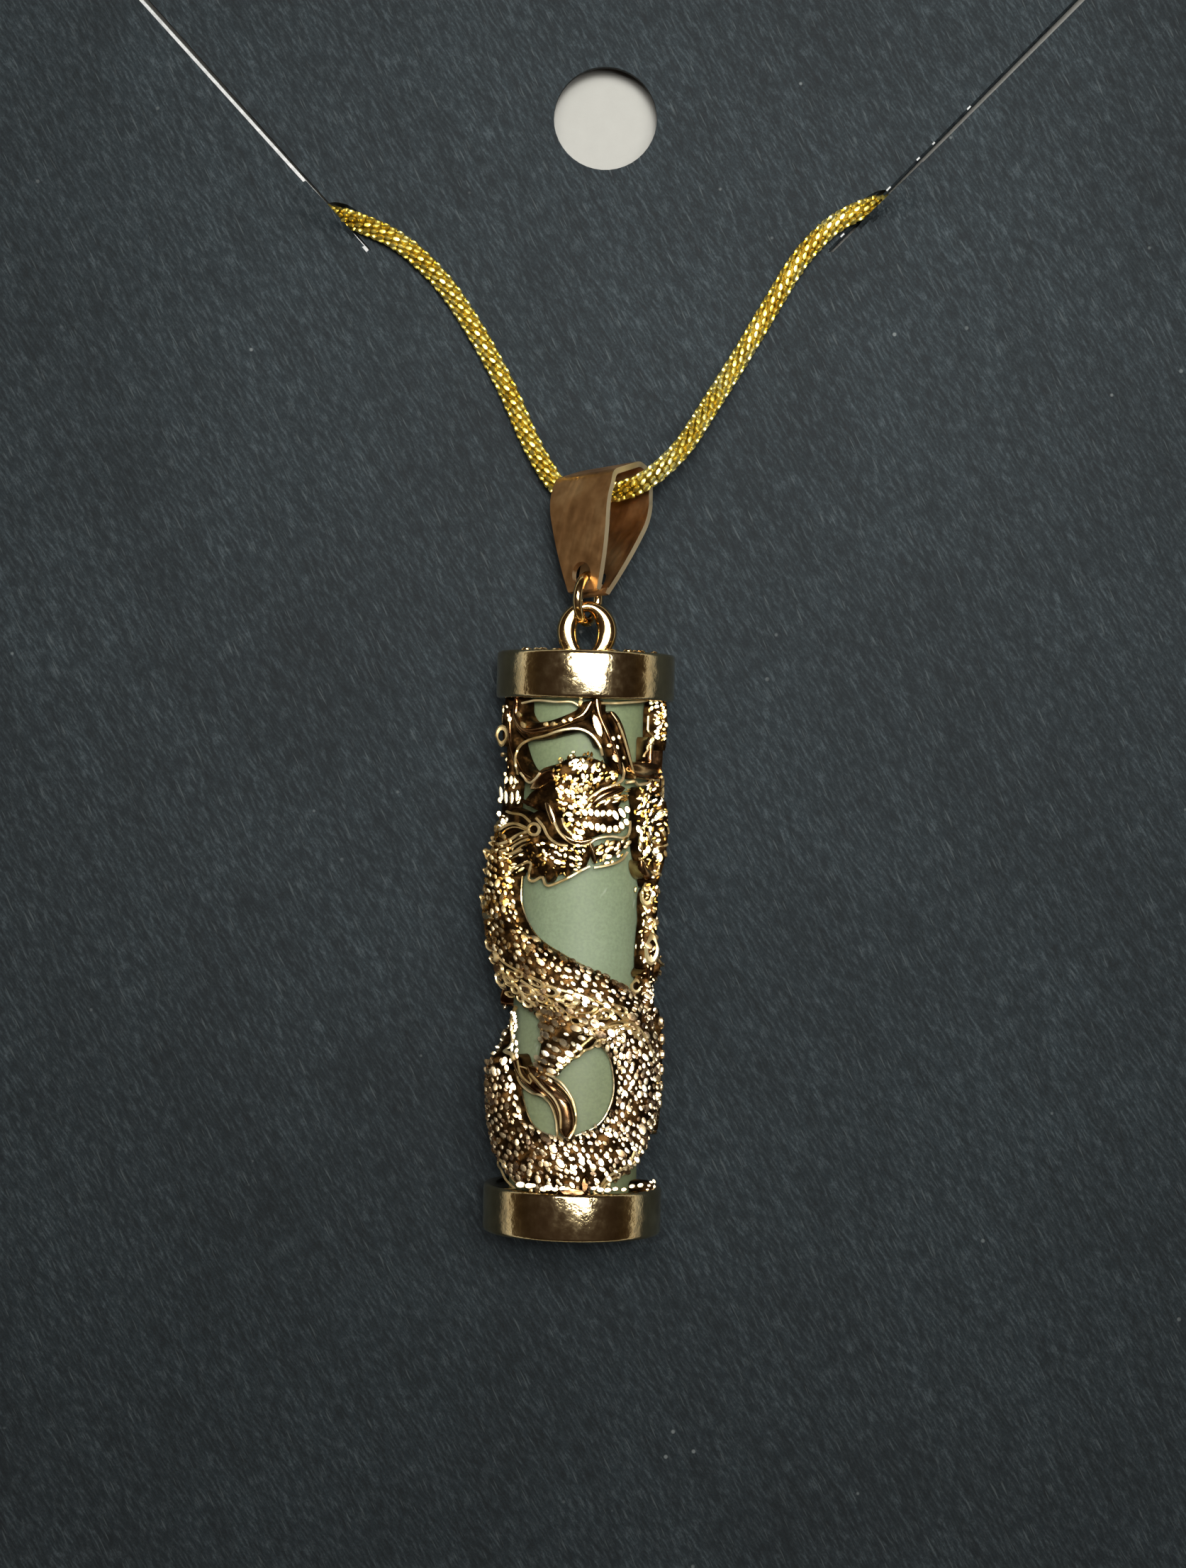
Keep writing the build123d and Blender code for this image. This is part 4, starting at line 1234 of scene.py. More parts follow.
MANE_LINES = [
    ((699, 1177), (712, 1165), (727, 1162), (744, 1169)),
    ((700, 1192), (715, 1187), (730, 1178), (744, 1173)),
    ((706, 1201), (720, 1197), (734, 1188), (745, 1184)),
    ((705, 1214), (719, 1206), (736, 1198)),
]
for line in MANE_LINES:
    pixel_strand(hollow, 0.6, [(x, y + 5, 0.26, 1.2) for x, y in line])
    pixel_wires(rims, 0.6, [(0.10, *line)])
    pixel_wires(crest, 0.6, [(0.05, *[(x + 3, y + 5) for x, y in line])])
strewn(beads, 0.7, [(700, 1186), (742, 1176), (744, 1206), (704, 1212)], 9, 0.30, 0.16, 20, 20, 0.8)
strewn(amber, 0.7, [
    (748, 1176), (764, 1188), (800, 1196), (826, 1190), (820, 1226), (776, 1240), (750, 1230),
    (738, 1200),
], 60, 0.26, 0.13, -30, 50, 0.4)
strewn(beads, 0.7, [(696, 1148), (712, 1144), (716, 1162), (700, 1168)], 6, 0.40, 0.24, 30, 30, 0.8)

# %% Beard
BEARD_LOCKS = [
    [(752, 1192, 0.55, 1.15), (748, 1215, 0.42, 1.05), (749, 1238, 0.14, 0.85)],
    [(778, 1198, 0.62, 1.15), (774, 1222, 0.46, 1.05), (772, 1245, 0.14, 0.85)],
    [(802, 1200, 0.60, 1.15), (800, 1218, 0.46, 1.05), (800, 1236, 0.18, 0.85)],
    [(826, 1196, 0.42, 1.05), (824, 1212, 0.32, 0.95), (823, 1226, 0.12, 0.8)],
    [(730, 1196, 0.50, 1.15), (722, 1215, 0.40, 1.10), (718, 1236, 0.20, 1.0)],
]
for rows in BEARD_LOCKS:
    pixel_strand(hollow, 0.4, rows)
strewn(beads, 0.6, [
    (752, 1188), (800, 1192), (824, 1188), (828, 1204), (818, 1224), (796, 1222), (770, 1214),
], 26, 0.36, 0.22, -35, 30)
strewn(crest, 0.6, [(716, 1236), (722, 1216), (744, 1212), (748, 1234), (732, 1240)], 10, 0.5, 0.14, 30, 8)
pixel_wires(rims, 0.75, [
    (0.086, (716, 1240), (722, 1228), (734, 1220), (749, 1217), (744, 1238), (751, 1243), (764, 1237),
     (768, 1247), (776, 1249), (800, 1239), (818, 1229), (832, 1222)),
])
pixel_strand(hollow, 0.45, [(838, 1204, 0.35, 0.95), (862, 1200, 0.42, 1.0), (882, 1190, 0.30, 0.95)])
BEARD_CORNER = [(840, 1218), (842, 1194), (862, 1186), (886, 1180), (888, 1194), (874, 1212), (858, 1220)]
strewn(amber, 0.6, BEARD_CORNER, 24, 0.34, 0.14, 50, 25, 0.4)
strewn(beads, 0.6, BEARD_CORNER, 18, 0.44, 0.26, 50, 20)
pixel_wires(rims, 0.8, [(0.081, (838, 1224), (856, 1221), (870, 1217), (879, 1212), (886, 1202))])
pixel_strand(polished, 0.4, [(832, 1190, 0.22, 0.95), (838, 1204, 0.18, 0.9), (840, 1218, 0.12, 0.8)])
print("head done, bead corners", beads.count)

# %% [markdown]
# ## Clouds over the head
# Above the head two bands frame a round window and a crescent one, and a forked stem runs from
# the top cap down to the snout. They are smooth: a brown polished ridge on a wider near-black
# base that is painted shade, with bright pellets where the carver set small pearls.

# %% Clouds and stem
CLOUDS = [
    [(726, 984, 0.34, 1.20), (724, 1010, 0.40, 1.25), (738, 1030, 0.42, 1.25), (768, 1028, 0.36, 1.25),
     (800, 1018, 0.34, 1.25), (822, 1008, 0.36, 1.25), (834, 990, 0.34, 1.2)],
    [(716, 1000, 0.24, 1.05), (717, 1040, 0.26, 1.10), (722, 1066, 0.28, 1.15), (734, 1090, 0.30, 1.15),
     (752, 1102, 0.3, 1.1)],
    [(842, 986, 0.50, 1.25), (846, 1008, 0.36, 1.32), (858, 1036, 0.34, 1.38), (870, 1064, 0.32, 1.34),
     (877, 1092, 0.26, 1.2)],
    [(862, 1004, 0.20, 1.05), (874, 1022, 0.26, 1.15), (884, 1052, 0.26, 1.15), (892, 1080, 0.22, 1.1),
     (898, 1098, 0.2, 1.05)],
]
for rows in CLOUDS:
    # the wide base of each band wears the near-black painted shade of the hollows
    strand(hollow, [(u, v, half * 1.35, rise - 0.12) for u, v, half, rise in pixel_rows(rows)], edge=0.4)
    strand(polished, [(u, v, half * 0.55, rise) for u, v, half, rise in pixel_rows(rows)], edge=0.8)
pixel_strand(hollow, 0.4, [
    (738, 1036, 0.35, 0.95), (766, 1031, 0.50, 1.02), (796, 1024, 0.52, 1.05), (824, 1022, 0.48, 1.05),
    (842, 1036, 0.42, 1.10), (849, 1056, 0.30, 1.10),
])
pixel_wires(rims, 0.85, [
    (0.086, (729, 1092), (727, 1070), (733, 1052), (748, 1043), (768, 1038), (792, 1030), (816, 1028),
     (834, 1036), (846, 1052), (850, 1066)),
])
pixel_wires(rims, 0.75, [(0.072, (734, 1090), (746, 1104), (756, 1098), (762, 1090))])
pixel_wires(rims, 0.8, [
    (0.072, (736, 992), (756, 988), (784, 990), (806, 990), (817, 996)),
    (0.081, (848, 992), (870, 992), (900, 990), (914, 988)),
])
pixel_wires(rims, 0.6, [(0.061, (872, 1020), (880, 1040), (888, 1068), (896, 1098))])
pixel_drops(beads, 0.6, [
    (732, 1003, 734, 1014, 0.36), (736, 1018, 742, 1028, 0.36), (766, 1022, 775, 1022, 0.32),
    (776, 1022, 786, 1021, 0.34), (792, 1018, 799, 1017, 0.30), (801, 1016, 809, 1014, 0.32),
    (820, 984, 818, 998, 0.30),
])
drop(polished, seen(850, 1046, 1.5), seen(836, 1002, 1.5), 0.46, 1.42, 0.32)
drop(polished, seen(862, 1056, 1.5), seen(858, 1048, 1.5), 0.40, 1.45, 0.3)
drop(polished, seen(872, 1078, 1.45), seen(865, 1062, 1.45), 0.42, 1.40, 0.3)
pixel_drops(beads, 0.6, [
    (864, 1038, 866, 1046, 0.24), (872, 1036, 874, 1044, 0.22), (870, 1050, 872, 1058, 0.2),
    (879, 1066, 880, 1072, 0.24),
])

# %% [markdown]
# ## The right side
# A knot of pellets hangs from the top cap, a thin bar joins it to a polished branch, and under
# the branch a column of scales, a hollow leaf and a jointed tail run down to the body.

# %% Right side
KNOT = [(70, 1.0, 0.60, 1.25), (71, 0.945, 0.68, 1.30), (70, 0.90, 0.55, 1.25)]
strand(hollow, laid_out(KNOT), edge=0.25)
strewn(amber, 0.5, [(918, 988), (952, 988), (952, 1044), (924, 1044)], 60, 0.30, 0.15, 60, 50, 0.6)
strewn(beads, 0.6, [(919, 990), (950, 988), (951, 1040), (926, 1044)], 44, 0.32, 0.21, 60, 40, 0.85)
pixel_strand(polished, 0.5, [(921, 1040, 0.20, 1.1), (921, 1062, 0.22, 1.1), (920, 1078, 0.2, 1.1)])
pixel_drops(beads, 0.6, [(924, 1040, 924, 1054, 0.32), (923, 1060, 923, 1070, 0.26)])
pixel_wires(rims, 0.6, [(0.081, (916, 1010), (915, 1040), (914, 1068))])
pixel_strand(polished, 0.7, [
    (888, 1082, 0.34, 1.1), (905, 1086, 0.50, 1.25), (922, 1088, 0.52, 1.35), (934, 1092, 0.40, 1.4),
], section=BAND)
pixel_wires(rims, 0.6, [
    (0.101, (884, 1104), (898, 1102), (901, 1107), (914, 1105), (920, 1099), (930, 1102), (936, 1098)),
])
OUTER_COLUMN = laid_out([
    (68, 0.795, 0.45, 1.45), (74, 0.74, 0.50, 1.45), (72, 0.69, 0.42, 1.40), (68, 0.655, 0.4, 1.3),
    (62, 0.62, 0.4, 1.2),
])
strand(hollow, OUTER_COLUMN, edge=0.5)
pixel_wires(rims, 0.9, [(0.10, (934, 1096), (941, 1106), (944, 1120), (943, 1134), (938, 1146))])
RIGHT_COLUMN = [
    (907, 1112, 0.36, 1.05), (918, 1136, 0.60, 1.20), (918, 1164, 0.62, 1.20), (916, 1190, 0.55, 1.10),
    (919, 1216, 0.48, 1.05), (924, 1240, 0.42, 1.10),
]
pixel_strand(hollow, 0.25, RIGHT_COLUMN)
strewn(amber, 0.5, [
    (902, 1110), (940, 1100), (946, 1140), (942, 1215), (930, 1240), (908, 1225), (900, 1180),
], 120, 0.32, 0.14, 60, 30, 0.7)
strewn(beads, 0.6, [
    (906, 1112), (920, 1104), (940, 1110), (940, 1138), (922, 1166), (904, 1162), (902, 1130),
], 34, 0.42, 0.18, 50, 14, 0.9)
pixel_drops(beads, 0.8, [(936, 1138, 923, 1162, 0.44), (930, 1146, 921, 1158, 0.3)])
strewn(beads, 0.6, [
    (898, 1168), (920, 1166), (920, 1192), (908, 1208), (898, 1200),
], 9, 0.46, 0.24, 85, 12, 0.9)
strewn(beads, 0.6, [(932, 1166), (942, 1168), (942, 1212), (932, 1216)], 7, 0.42, 0.28, 85, 12, 0.85)
strewn(beads, 0.6, [(902, 1212), (916, 1226), (938, 1232), (938, 1244), (912, 1240)], 7, 0.36, 0.2, -20, 20)
pixel_drops(beads, 0.6, [
    (900, 1172, 905, 1204, 0.32), (915, 1170, 917, 1190, 0.34), (903, 1164, 906, 1174, 0.2),
])
pixel_drops(beads, 0.6, [
    (936, 1168, 937, 1182, 0.32), (938, 1184, 938, 1198, 0.30), (937, 1198, 936, 1210, 0.28),
])
pixel_wires(rims, 0.6, [
    (0.072, (929, 1166), (932, 1186), (932, 1206), (929, 1226), (924, 1236)),
    (0.101, (903, 1210), (908, 1222), (916, 1230), (928, 1232), (936, 1240)),
])
pixel_strand(polished, 0.6, [(906, 1214, 0.2, 1.0), (914, 1230, 0.34, 1.1), (928, 1238, 0.3, 1.15)])

# %% Jointed tail
TAIL = laid_out([
    (66, 0.615, 0.50, 1.05), (67, 0.58, 0.58, 1.10), (67, 0.55, 0.46, 1.05), (66, 0.525, 0.55, 1.10),
    (65, 0.48, 0.60, 1.10), (64, 0.43, 0.46, 1.0), (65, 0.39, 0.46, 1.05), (68, 0.345, 0.6, 1.15),
])
strand(hollow, TAIL, edge=0.20)
for px, py, half_length, half_width, tilt in (
    (921, 1262, 0.80, 0.46, 88), (922, 1302, 0.42, 0.36, 100), (920, 1338, 1.04, 0.46, 86),
    (915, 1392, 0.50, 0.40, 80),
):
    u, v = seen(px, py, 1.1)
    along, across = faced(u, -pointing(tilt), OUTWARD, 0.6)
    lay(rims, LOOP, (u, v, height_at(u, v) + 0.08), along, across, (half_length, half_width, 0.5))
strewn(amber, 0.5, [
    (908, 1246), (934, 1246), (932, 1310), (930, 1360), (926, 1440), (906, 1440), (908, 1380),
    (906, 1310),
], 90, 0.30, 0.14, 80, 35, 0.7)
strewn(beads, 0.6, [
    (909, 1248), (932, 1248), (930, 1360), (924, 1436), (907, 1436),
], 22, 0.34, 0.20, 85, 30, 0.9)
pixel_drops(beads, 0.6, [
    (914, 1250, 917, 1260, 0.34), (924, 1250, 928, 1260, 0.34), (919, 1264, 920, 1274, 0.26),
    (920, 1281, 923, 1289, 0.30), (921, 1296, 927, 1306, 0.50), (916, 1292, 918, 1298, 0.26),
    (913, 1330, 921, 1340, 0.50), (924, 1318, 927, 1326, 0.30), (911, 1350, 914, 1360, 0.26),
    (926, 1346, 927, 1358, 0.26), (911, 1386, 918, 1394, 0.40), (911, 1402, 920, 1410, 0.40),
    (912, 1418, 918, 1428, 0.34), (922, 1420, 926, 1430, 0.30),
])
pixel_strand(polished, 0.5, [(916, 1366, 0.40, 1.08), (917, 1373, 0.46, 1.12), (916, 1381, 0.40, 1.08)])
for x, y in ((896, 1250), (903, 1292), (897, 1330)):
    drop(beads, seen(x, y + 10, 0.1), seen(x + 1, y, 0.1), 0.16, 0.08)

# %% [markdown]
# ## The left edge
# Seen edge on, the left side is a stack of small things: a pearl and an open square under the
# top cap, a chain of pearls, and the mane's tips.

# %% Left edge
strand(hollow, laid_out([(-73, 1.0, 0.42, 1.05), (-75, 0.945, 0.45, 1.15), (-73, 0.90, 0.40, 1.1)]), edge=0.3)
strewn(beads, 0.9, [(698, 998), (716, 996), (719, 1018), (701, 1022)], 9, 0.36, 0.26, 60, 40, 0.9)
u, v = seen(709, 1038, 1.2)
along, across = faced(u, UPWARD, OUTWARD, 0.8)
lay(rims, LOOP, (u, v, 1.25), along, across, (0.68, 0.42, 0.6))
strewn(beads, 0.9, [(708, 1058), (716, 1058), (720, 1100), (710, 1100)], 4, 0.36, 0.28, 80, 20, 0.9)
strand(hollow, laid_out([
    (-70, 0.90, 0.35, 0.95), (-66, 0.85, 0.40, 1.05), (-68, 0.80, 0.45, 1.1), (-72, 0.76, 0.55, 1.15),
]), edge=0.45)
for k in range(9):
    u, v = turned(-78 - 4 * (k % 2), 0.79 - 0.028 * k)
    drop(beads, (u - 0.15, v + 0.15), (u + 0.15, v - 0.2), 0.36, 1.12, facing=0.85)
print("front done, rim corners", rims.count)

# %% [markdown]
# ## The back
# The photo shows only the front. The back is a guess in the same style: clouds and locks of
# the mane wander round the jade between the two caps, joined to each other and to the body.

# %% Back strands
BACK_BANDS = [
    [(-58, 0.17, 0.55, 1.05), (-100, 0.12, 0.70, 1.05), (-140, 0.10, 0.62, 1.0), (-170, 0.01, 0.5, 1.0)],
    [(190, 0.01, 0.5, 1.0), (165, 0.11, 0.66, 1.05), (120, 0.14, 0.70, 1.05), (85, 0.12, 0.6, 1.1)],
    [(-150, 0.34, 0.70, 1.08), (-160, 0.27, 0.66, 1.05), (-145, 0.19, 0.55, 1.05), (-140, 0.10, 0.5, 1.0)],
    [(172, 0.35, 0.66, 1.08), (160, 0.26, 0.66, 1.05), (140, 0.22, 0.6, 1.05), (120, 0.14, 0.55, 1.05)],
    [(-76, 0.74, 0.7, 1.15), (-100, 0.73, 0.75, 1.08), (-130, 0.66, 0.75, 1.05), (-150, 0.56, 0.6, 1.05)],
    [(-150, 0.56, 0.6, 1.0), (-130, 0.47, 0.62, 1.0), (-112, 0.36, 0.55, 1.0)],
    [(-150, 0.56, 0.6, 1.05), (-185, 0.60, 0.66, 1.05), (-220, 0.66, 0.66, 1.05), (-255, 0.70, 0.6, 1.08),
     (-292, 0.71, 0.4, 1.05)],
    [(-110, 0.73, 0.55, 1.0), (-120, 0.84, 0.6, 1.05), (-150, 0.91, 0.6, 1.05), (-185, 0.88, 0.6, 1.05),
     (-220, 0.83, 0.6, 1.05), (-255, 0.82, 0.55, 1.05), (-290, 0.81, 0.4, 1.05)],
    [(-165, 0.90, 0.5, 1.0), (-170, 0.995, 0.6, 1.0)],
    [(112, 0.82, 0.5, 1.0), (108, 0.91, 0.45, 1.0), (112, 0.995, 0.6, 1.0)],
]
for rows in BACK_BANDS:
    flat = laid_out(rows)
    strand(polished, flat, edge=0.5, section=BAND, pitch=0.25)
    scales(
        back_scales, [(u, v, half * 0.4, rise * 0.78) for u, v, half, rise in flat], edge=0.3,
        span=(-0.6, 0.6), pitch=0.55, gap=0.4, size=(0.24, 0.16, 0.14), lift=0.2,
    )
for degrees, level in (
    (-100, 0.73), (-150, 0.56), (160, 0.60), (120, 0.68), (-120, 0.84), (150, 0.85), (-100, 0.12),
    (120, 0.14), (-150, 0.30), (165, 0.30),
):
    u, v = turned(degrees, level)
    for ring in (0.62, 0.34):
        lay(crest, LOOP, (u, v, 1.12 + (0.62 - ring) * 0.5), ROUND_ABOUT, UPWARD, (ring, ring * 0.9, 0.7))
print("back bands", len(BACK_BANDS))

# %% [markdown]
# ## Caps
# The caps are turned bands of polished metal with rounded edges. Each starts as a cylinder.
# Its end faces are inset and sunk a little, so that a rim is left, and its rims are bevelled.
# The band of the top cap also has the eye soldered on, with a rough line of solder at its foot.

# %% Turned caps
RIM_WIDTH = 0.75
STEP_WIDTH = 0.22
STEP_DEPTH = 0.16
RIM_ROUNDING = 0.24


def at_end(place):
    """Whether a place on a cap lies on one of its two ends."""
    return abs(place.z) > 0.49 * CAP_HEIGHT * MM


def on_outside(place):
    """Whether a place on a cap lies at its full radius."""
    return math.hypot(*place.xy) > (CAP_RADIUS - 0.01) * MM


def band_cap(name):
    """A cap about its own middle, in metres: a bevelled band with sunk ends."""
    bpy.ops.object.select_all(action="DESELECT")
    bpy.ops.mesh.primitive_cylinder_add(vertices=96, radius=CAP_RADIUS * MM, depth=CAP_HEIGHT * MM)
    cap = bpy.context.object
    cap.name = name
    bpy.ops.object.mode_set(mode="EDIT")
    picked(lambda part, middle: at_end(middle) and len(part.verts) > 4)
    bpy.ops.mesh.inset(thickness=RIM_WIDTH * MM, depth=0)
    bpy.ops.mesh.inset(thickness=STEP_WIDTH * MM, depth=-STEP_DEPTH * MM)
    picked(
        lambda part, middle: at_end(middle) and all(on_outside(corner.co) for corner in part.verts),
        "EDGE",
    )
    bpy.ops.mesh.bevel(offset=RIM_ROUNDING * MM, segments=4, affect="EDGES")
    bpy.ops.mesh.select_all(action="SELECT")
    bpy.ops.mesh.normals_make_consistent(inside=False)
    bpy.ops.object.mode_set(mode="OBJECT")
    smooth_by_angle(cap, 35)
    return cap


def put_on_axis(piece, along):
    """Moves a piece onto the column's axis, at a distance from its middle, for good."""
    place = PLACE @ Matrix.Translation((0, 0, along)) @ Matrix.Scale(1 / MM, 4)
    piece.data.transform(place)
    piece.data.update()


top_band = band_cap("top_cap_band")
put_on_axis(top_band, (BODY_LENGTH - CAP_HEIGHT) / 2)
bottom_band = band_cap("bottom_cap_band")
put_on_axis(bottom_band, -(BODY_LENGTH - CAP_HEIGHT) / 2)

# %% The eye
EYE_MIDDLE = 1.32
EYE_HOLE = (0.60, 1.20)
EYE_OUTSIDE = (1.85, 1.88)
EYE_HALF_THICK = 0.52
EYE_STEPS = 40
EYE_SIDES = 14
SQUARENESS = 0.8
eye = Pile()
corners, faces = [], []
for k in range(EYE_STEPS):
    turn = 2 * math.pi * k / EYE_STEPS
    inner = (EYE_HOLE[0] * math.cos(turn), EYE_MIDDLE + EYE_HOLE[1] * math.sin(turn))
    outer = (EYE_OUTSIDE[0] * math.cos(turn), EYE_MIDDLE + EYE_OUTSIDE[1] * math.sin(turn))
    for j in range(EYE_SIDES):
        round_wire = 2 * math.pi * j / EYE_SIDES
        side, thick = math.cos(round_wire), math.sin(round_wire)
        side = math.copysign(abs(side) ** SQUARENESS, side)
        thick = math.copysign(abs(thick) ** SQUARENESS, thick) * EYE_HALF_THICK
        x, z = ((a + b) / 2 + (b - a) / 2 * side for a, b in zip(inner, outer))
        corners.append((x, -thick, z))
        a, b = k * EYE_SIDES, (k + 1) % EYE_STEPS * EYE_SIDES
        faces.append((a + j, a + (j + 1) % EYE_SIDES, b + (j + 1) % EYE_SIDES, b + j))
eye.add(corners, faces)
solder = Pile()
SOLDER_GRAINS = [
    (-2.1, 0.5, 0.16), (-1.75, 0.6, 0.26), (-1.2, 0.5, 0.22), (-0.62, 0.45, 0.18), (0.55, 0.5, 0.2),
    (1.05, 0.6, 0.26), (1.6, 0.55, 0.28), (2.05, 0.5, 0.18), (2.5, 0.3, 0.12), (3.3, 0.25, 0.11),
    (4.1, 0.2, 0.10), (-2.6, 0.25, 0.11), (-3.6, 0.3, 0.12), (2.9, 0.2, 0.1), (-3.0, 0.2, 0.1),
]
for x, width, size in SOLDER_GRAINS:
    under_eye = abs(x) < 2.2
    depth = -0.3 if under_eye else -math.sqrt(max(0.1, (CAP_RADIUS - 0.35) ** 2 - x * x))
    for forward in (depth, -depth):
        grain_size = np.array([width, 0.5 if under_eye else 0.2, size])
        solder.add(PELLET[0] * grain_size + np.array([x, forward, 0.0]), PELLET[1])


def on_top(flat):
    """Points about the middle of the top cap's outer face, in millimetres, in their place."""
    place = np.array(PLACE @ Matrix.Translation((0, 0, BODY_LENGTH / 2)))
    return np.asarray(flat) @ place[:3, :3].T + place[:3, 3]


finished("eye_plate", eye, gold["eye_gold"], on_top)
finished("solder_line", solder, gold["eye_gold"], on_top)
for band, node in ((top_band, "top_cap"), (bottom_band, "bottom_cap")):
    wear(gold["cap_gold"], band)
    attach(band, "root")
    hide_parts(node)
print("caps:", top_band.name, bottom_band.name)

# %% [markdown]
# ## Beading at the caps
# A row of small pearls and drips lies along the edge of the bottom cap, where the casting was
# soldered to it, with a bright drip in the middle and a nub at the right.

# %% Beading
edge_up = -SPAN / 2 + 0.10
BOTTOM_EDGE_ROW = 1683
for px, width, height in (
    (735, 0.44, 1.3), (744, 0.40, 1.25), (753, 0.34, 1.2), (763, 0.50, 1.3), (774, 0.48, 1.3),
    (784, 0.36, 1.25), (792, 0.34, 1.25), (800, 0.40, 1.2), (838, 0.34, 1.2), (847, 0.32, 1.2),
    (858, 0.34, 1.2), (868, 0.32, 1.25), (880, 0.32, 1.2), (893, 0.34, 1.25), (903, 0.40, 1.2),
):
    u, v = seen(px + chance.gauss(0, 1.5), BOTTOM_EDGE_ROW, height)
    rise = 0.12 + chance.uniform(-0.05, 0.16)
    width *= chance.uniform(0.75, 1.15)
    start = (u - width * 0.7, edge_up + rise)
    end = (u + width * 0.7, edge_up + rise + 0.06)
    drop(beads, start, end, width, height, facing=0.9)
u, v = seen(824, 1680, 1.25)
drop(polished, (u, edge_up - 0.1), (u + 0.05, edge_up + 1.1), 0.42, 1.26, 0.22)
drop(polished, (u - 1.5, edge_up + 0.05), (u + 0.3, edge_up + 0.02), 0.5, 1.2, 0.24)
strewn(beads, 1.0, [(910, 1666), (930, 1664), (932, 1678), (908, 1680)], 6, 0.40, 0.26, 20, 30, 0.9)
pixel_strand(hollow, 0.4, [(906, 1676, 0.3, 1.0), (918, 1673, 0.34, 1.05), (930, 1672, 0.26, 1.0)])
print("beading corners", beads.count)

# %% [markdown]
# ## The woven chain
# The chain is a fine round snake chain: rings of small ovals that lean like a rope. It runs
# along a few chosen points, with every corner rounded off, from the clasp round under the
# card, up through one slit, through the bail, and back the same way. A dark core shows in the
# gaps; its near-black gold is painted shade. The stretch on top of the card has round ovals,
# the hidden stretch plainer ones.

# %% Chain route
# across, along the card, height of the chain's centre, in millimetres
CHAIN_POINTS = [
    (-5.55, -64.4, 0.75), (-12.5, -64.4, 0.75), (-21.0, -64.0, 0.75), (-31.0, -62.0, 0.75),
    (-40.0, -56.0, 0.75), (-45.0, -45.0, 0.75), (-46.6, -24.0, 0.75), (-46.9, 10.0, 0.75),
    (-46.2, 40.0, 0.75), (-43.4, 52.6, 0.75), (-36.6, 58.4, 0.75), (-27.4, 56.8, 0.75),
    (-18.2, 53.4, 0.75), (-15.6, 52.4, 2.93), (-12.9, 51.2, 2.93), (-10.2, 48.7, 2.93),
    (-8.1, 45.5, 2.93), (-6.1, 41.8, 3.03), (-4.6, 38.2, 3.13), (-2.6, 34.9, 3.75), (1.9, 35.15, 7.65),
    (4.6, 37.5, 6.55), (6.6, 40.8, 4.55), (8.4, 43.7, 3.33), (10.1, 46.6, 2.93), (12.2, 50.1, 2.93),
    (14.2, 52.2, 2.93), (16.4, 53.3, 2.93), (19.0, 54.1, 0.75), (28.4, 57.4, 0.75), (37.2, 58.6, 0.75),
    (43.9, 52.4, 0.75), (46.4, 39.6, 0.75), (46.9, 9.0, 0.75), (46.5, -25.0, 0.75), (44.8, -46.0, 0.75),
    (39.6, -56.4, 0.75), (30.6, -62.2, 0.75), (20.6, -64.1, 0.75), (12.5, -64.4, 0.75),
    (5.55, -64.4, 0.75),
]
BEND_SHARE = 0.45


def rounded_route(points):
    """The route with an arc in place of each corner, as a fine line of points."""
    points = [np.array(point, float) for point in points]
    line = [points[0]]
    for before, corner, after in zip(points, points[1:], points[2:]):
        run_in, run_out = corner - before, after - corner
        reach = BEND_SHARE * min(np.linalg.norm(run_in), np.linalg.norm(run_out))
        run_in, run_out = run_in / np.linalg.norm(run_in), run_out / np.linalg.norm(run_out)
        half_turn = math.acos(float(np.clip(run_in @ run_out, -1, 1))) / 2
        radius = reach / math.tan(half_turn)
        middle = corner + (run_out - run_in) / np.linalg.norm(run_out - run_in) * radius / math.cos(half_turn)
        start, end = corner - run_in * reach - middle, corner + run_out * reach - middle
        for step in range(9):
            turn = 2 * half_turn * step / 8
            spoke = start * math.sin(2 * half_turn - turn) + end * math.sin(turn)
            line.append(middle + spoke / math.sin(2 * half_turn))
    line.append(points[-1])
    return np.array(line)


def evenly_cut(line, pitch):
    """The same line cut into even steps of about a pitch."""
    along = np.concatenate([[0.0], np.cumsum(np.linalg.norm(np.diff(line, axis=0), axis=1))])
    count = int(round(along[-1] / pitch)) + 1
    at = np.linspace(0, along[-1], count)
    return np.stack([np.interp(at, along, line[:, k]) for k in range(3)], axis=1)


route = rounded_route(CHAIN_POINTS)
print("chain length in mm:", round(float(np.linalg.norm(np.diff(route, axis=0), axis=1).sum()), 1))

# %% Chain weave
CHAIN_RADIUS = 0.63
COLUMNS = 8
RING_PITCH = 0.49
OVAL_SIZE = (0.27, 0.145, 0.18)
LOW_OVAL_SIZE = (0.33, 0.22, 0.148)
CORE_RADIUS = CHAIN_RADIUS - 0.18
CORE_SIDES = 8
CARD_TOP = 2.15
rings = evenly_cut(route, RING_PITCH)
travel = np.gradient(rings, axis=0)
travel /= np.linalg.norm(travel, axis=1, keepdims=True)
aside = np.array([0.0, 1.0, 0.0])
bpy.ops.object.select_all(action="DESELECT")
bpy.ops.mesh.primitive_uv_sphere_add(segments=8, ring_count=5, radius=1.0)
bpy.ops.object.mode_set(mode="EDIT")
picked(lambda part, middle: middle.z > 0.4, "VERT")
bpy.ops.transform.resize(value=(1.35, 1.35, 0.8))
bpy.ops.object.mode_set(mode="OBJECT")
OVAL = kept_shape(bpy.context.object)
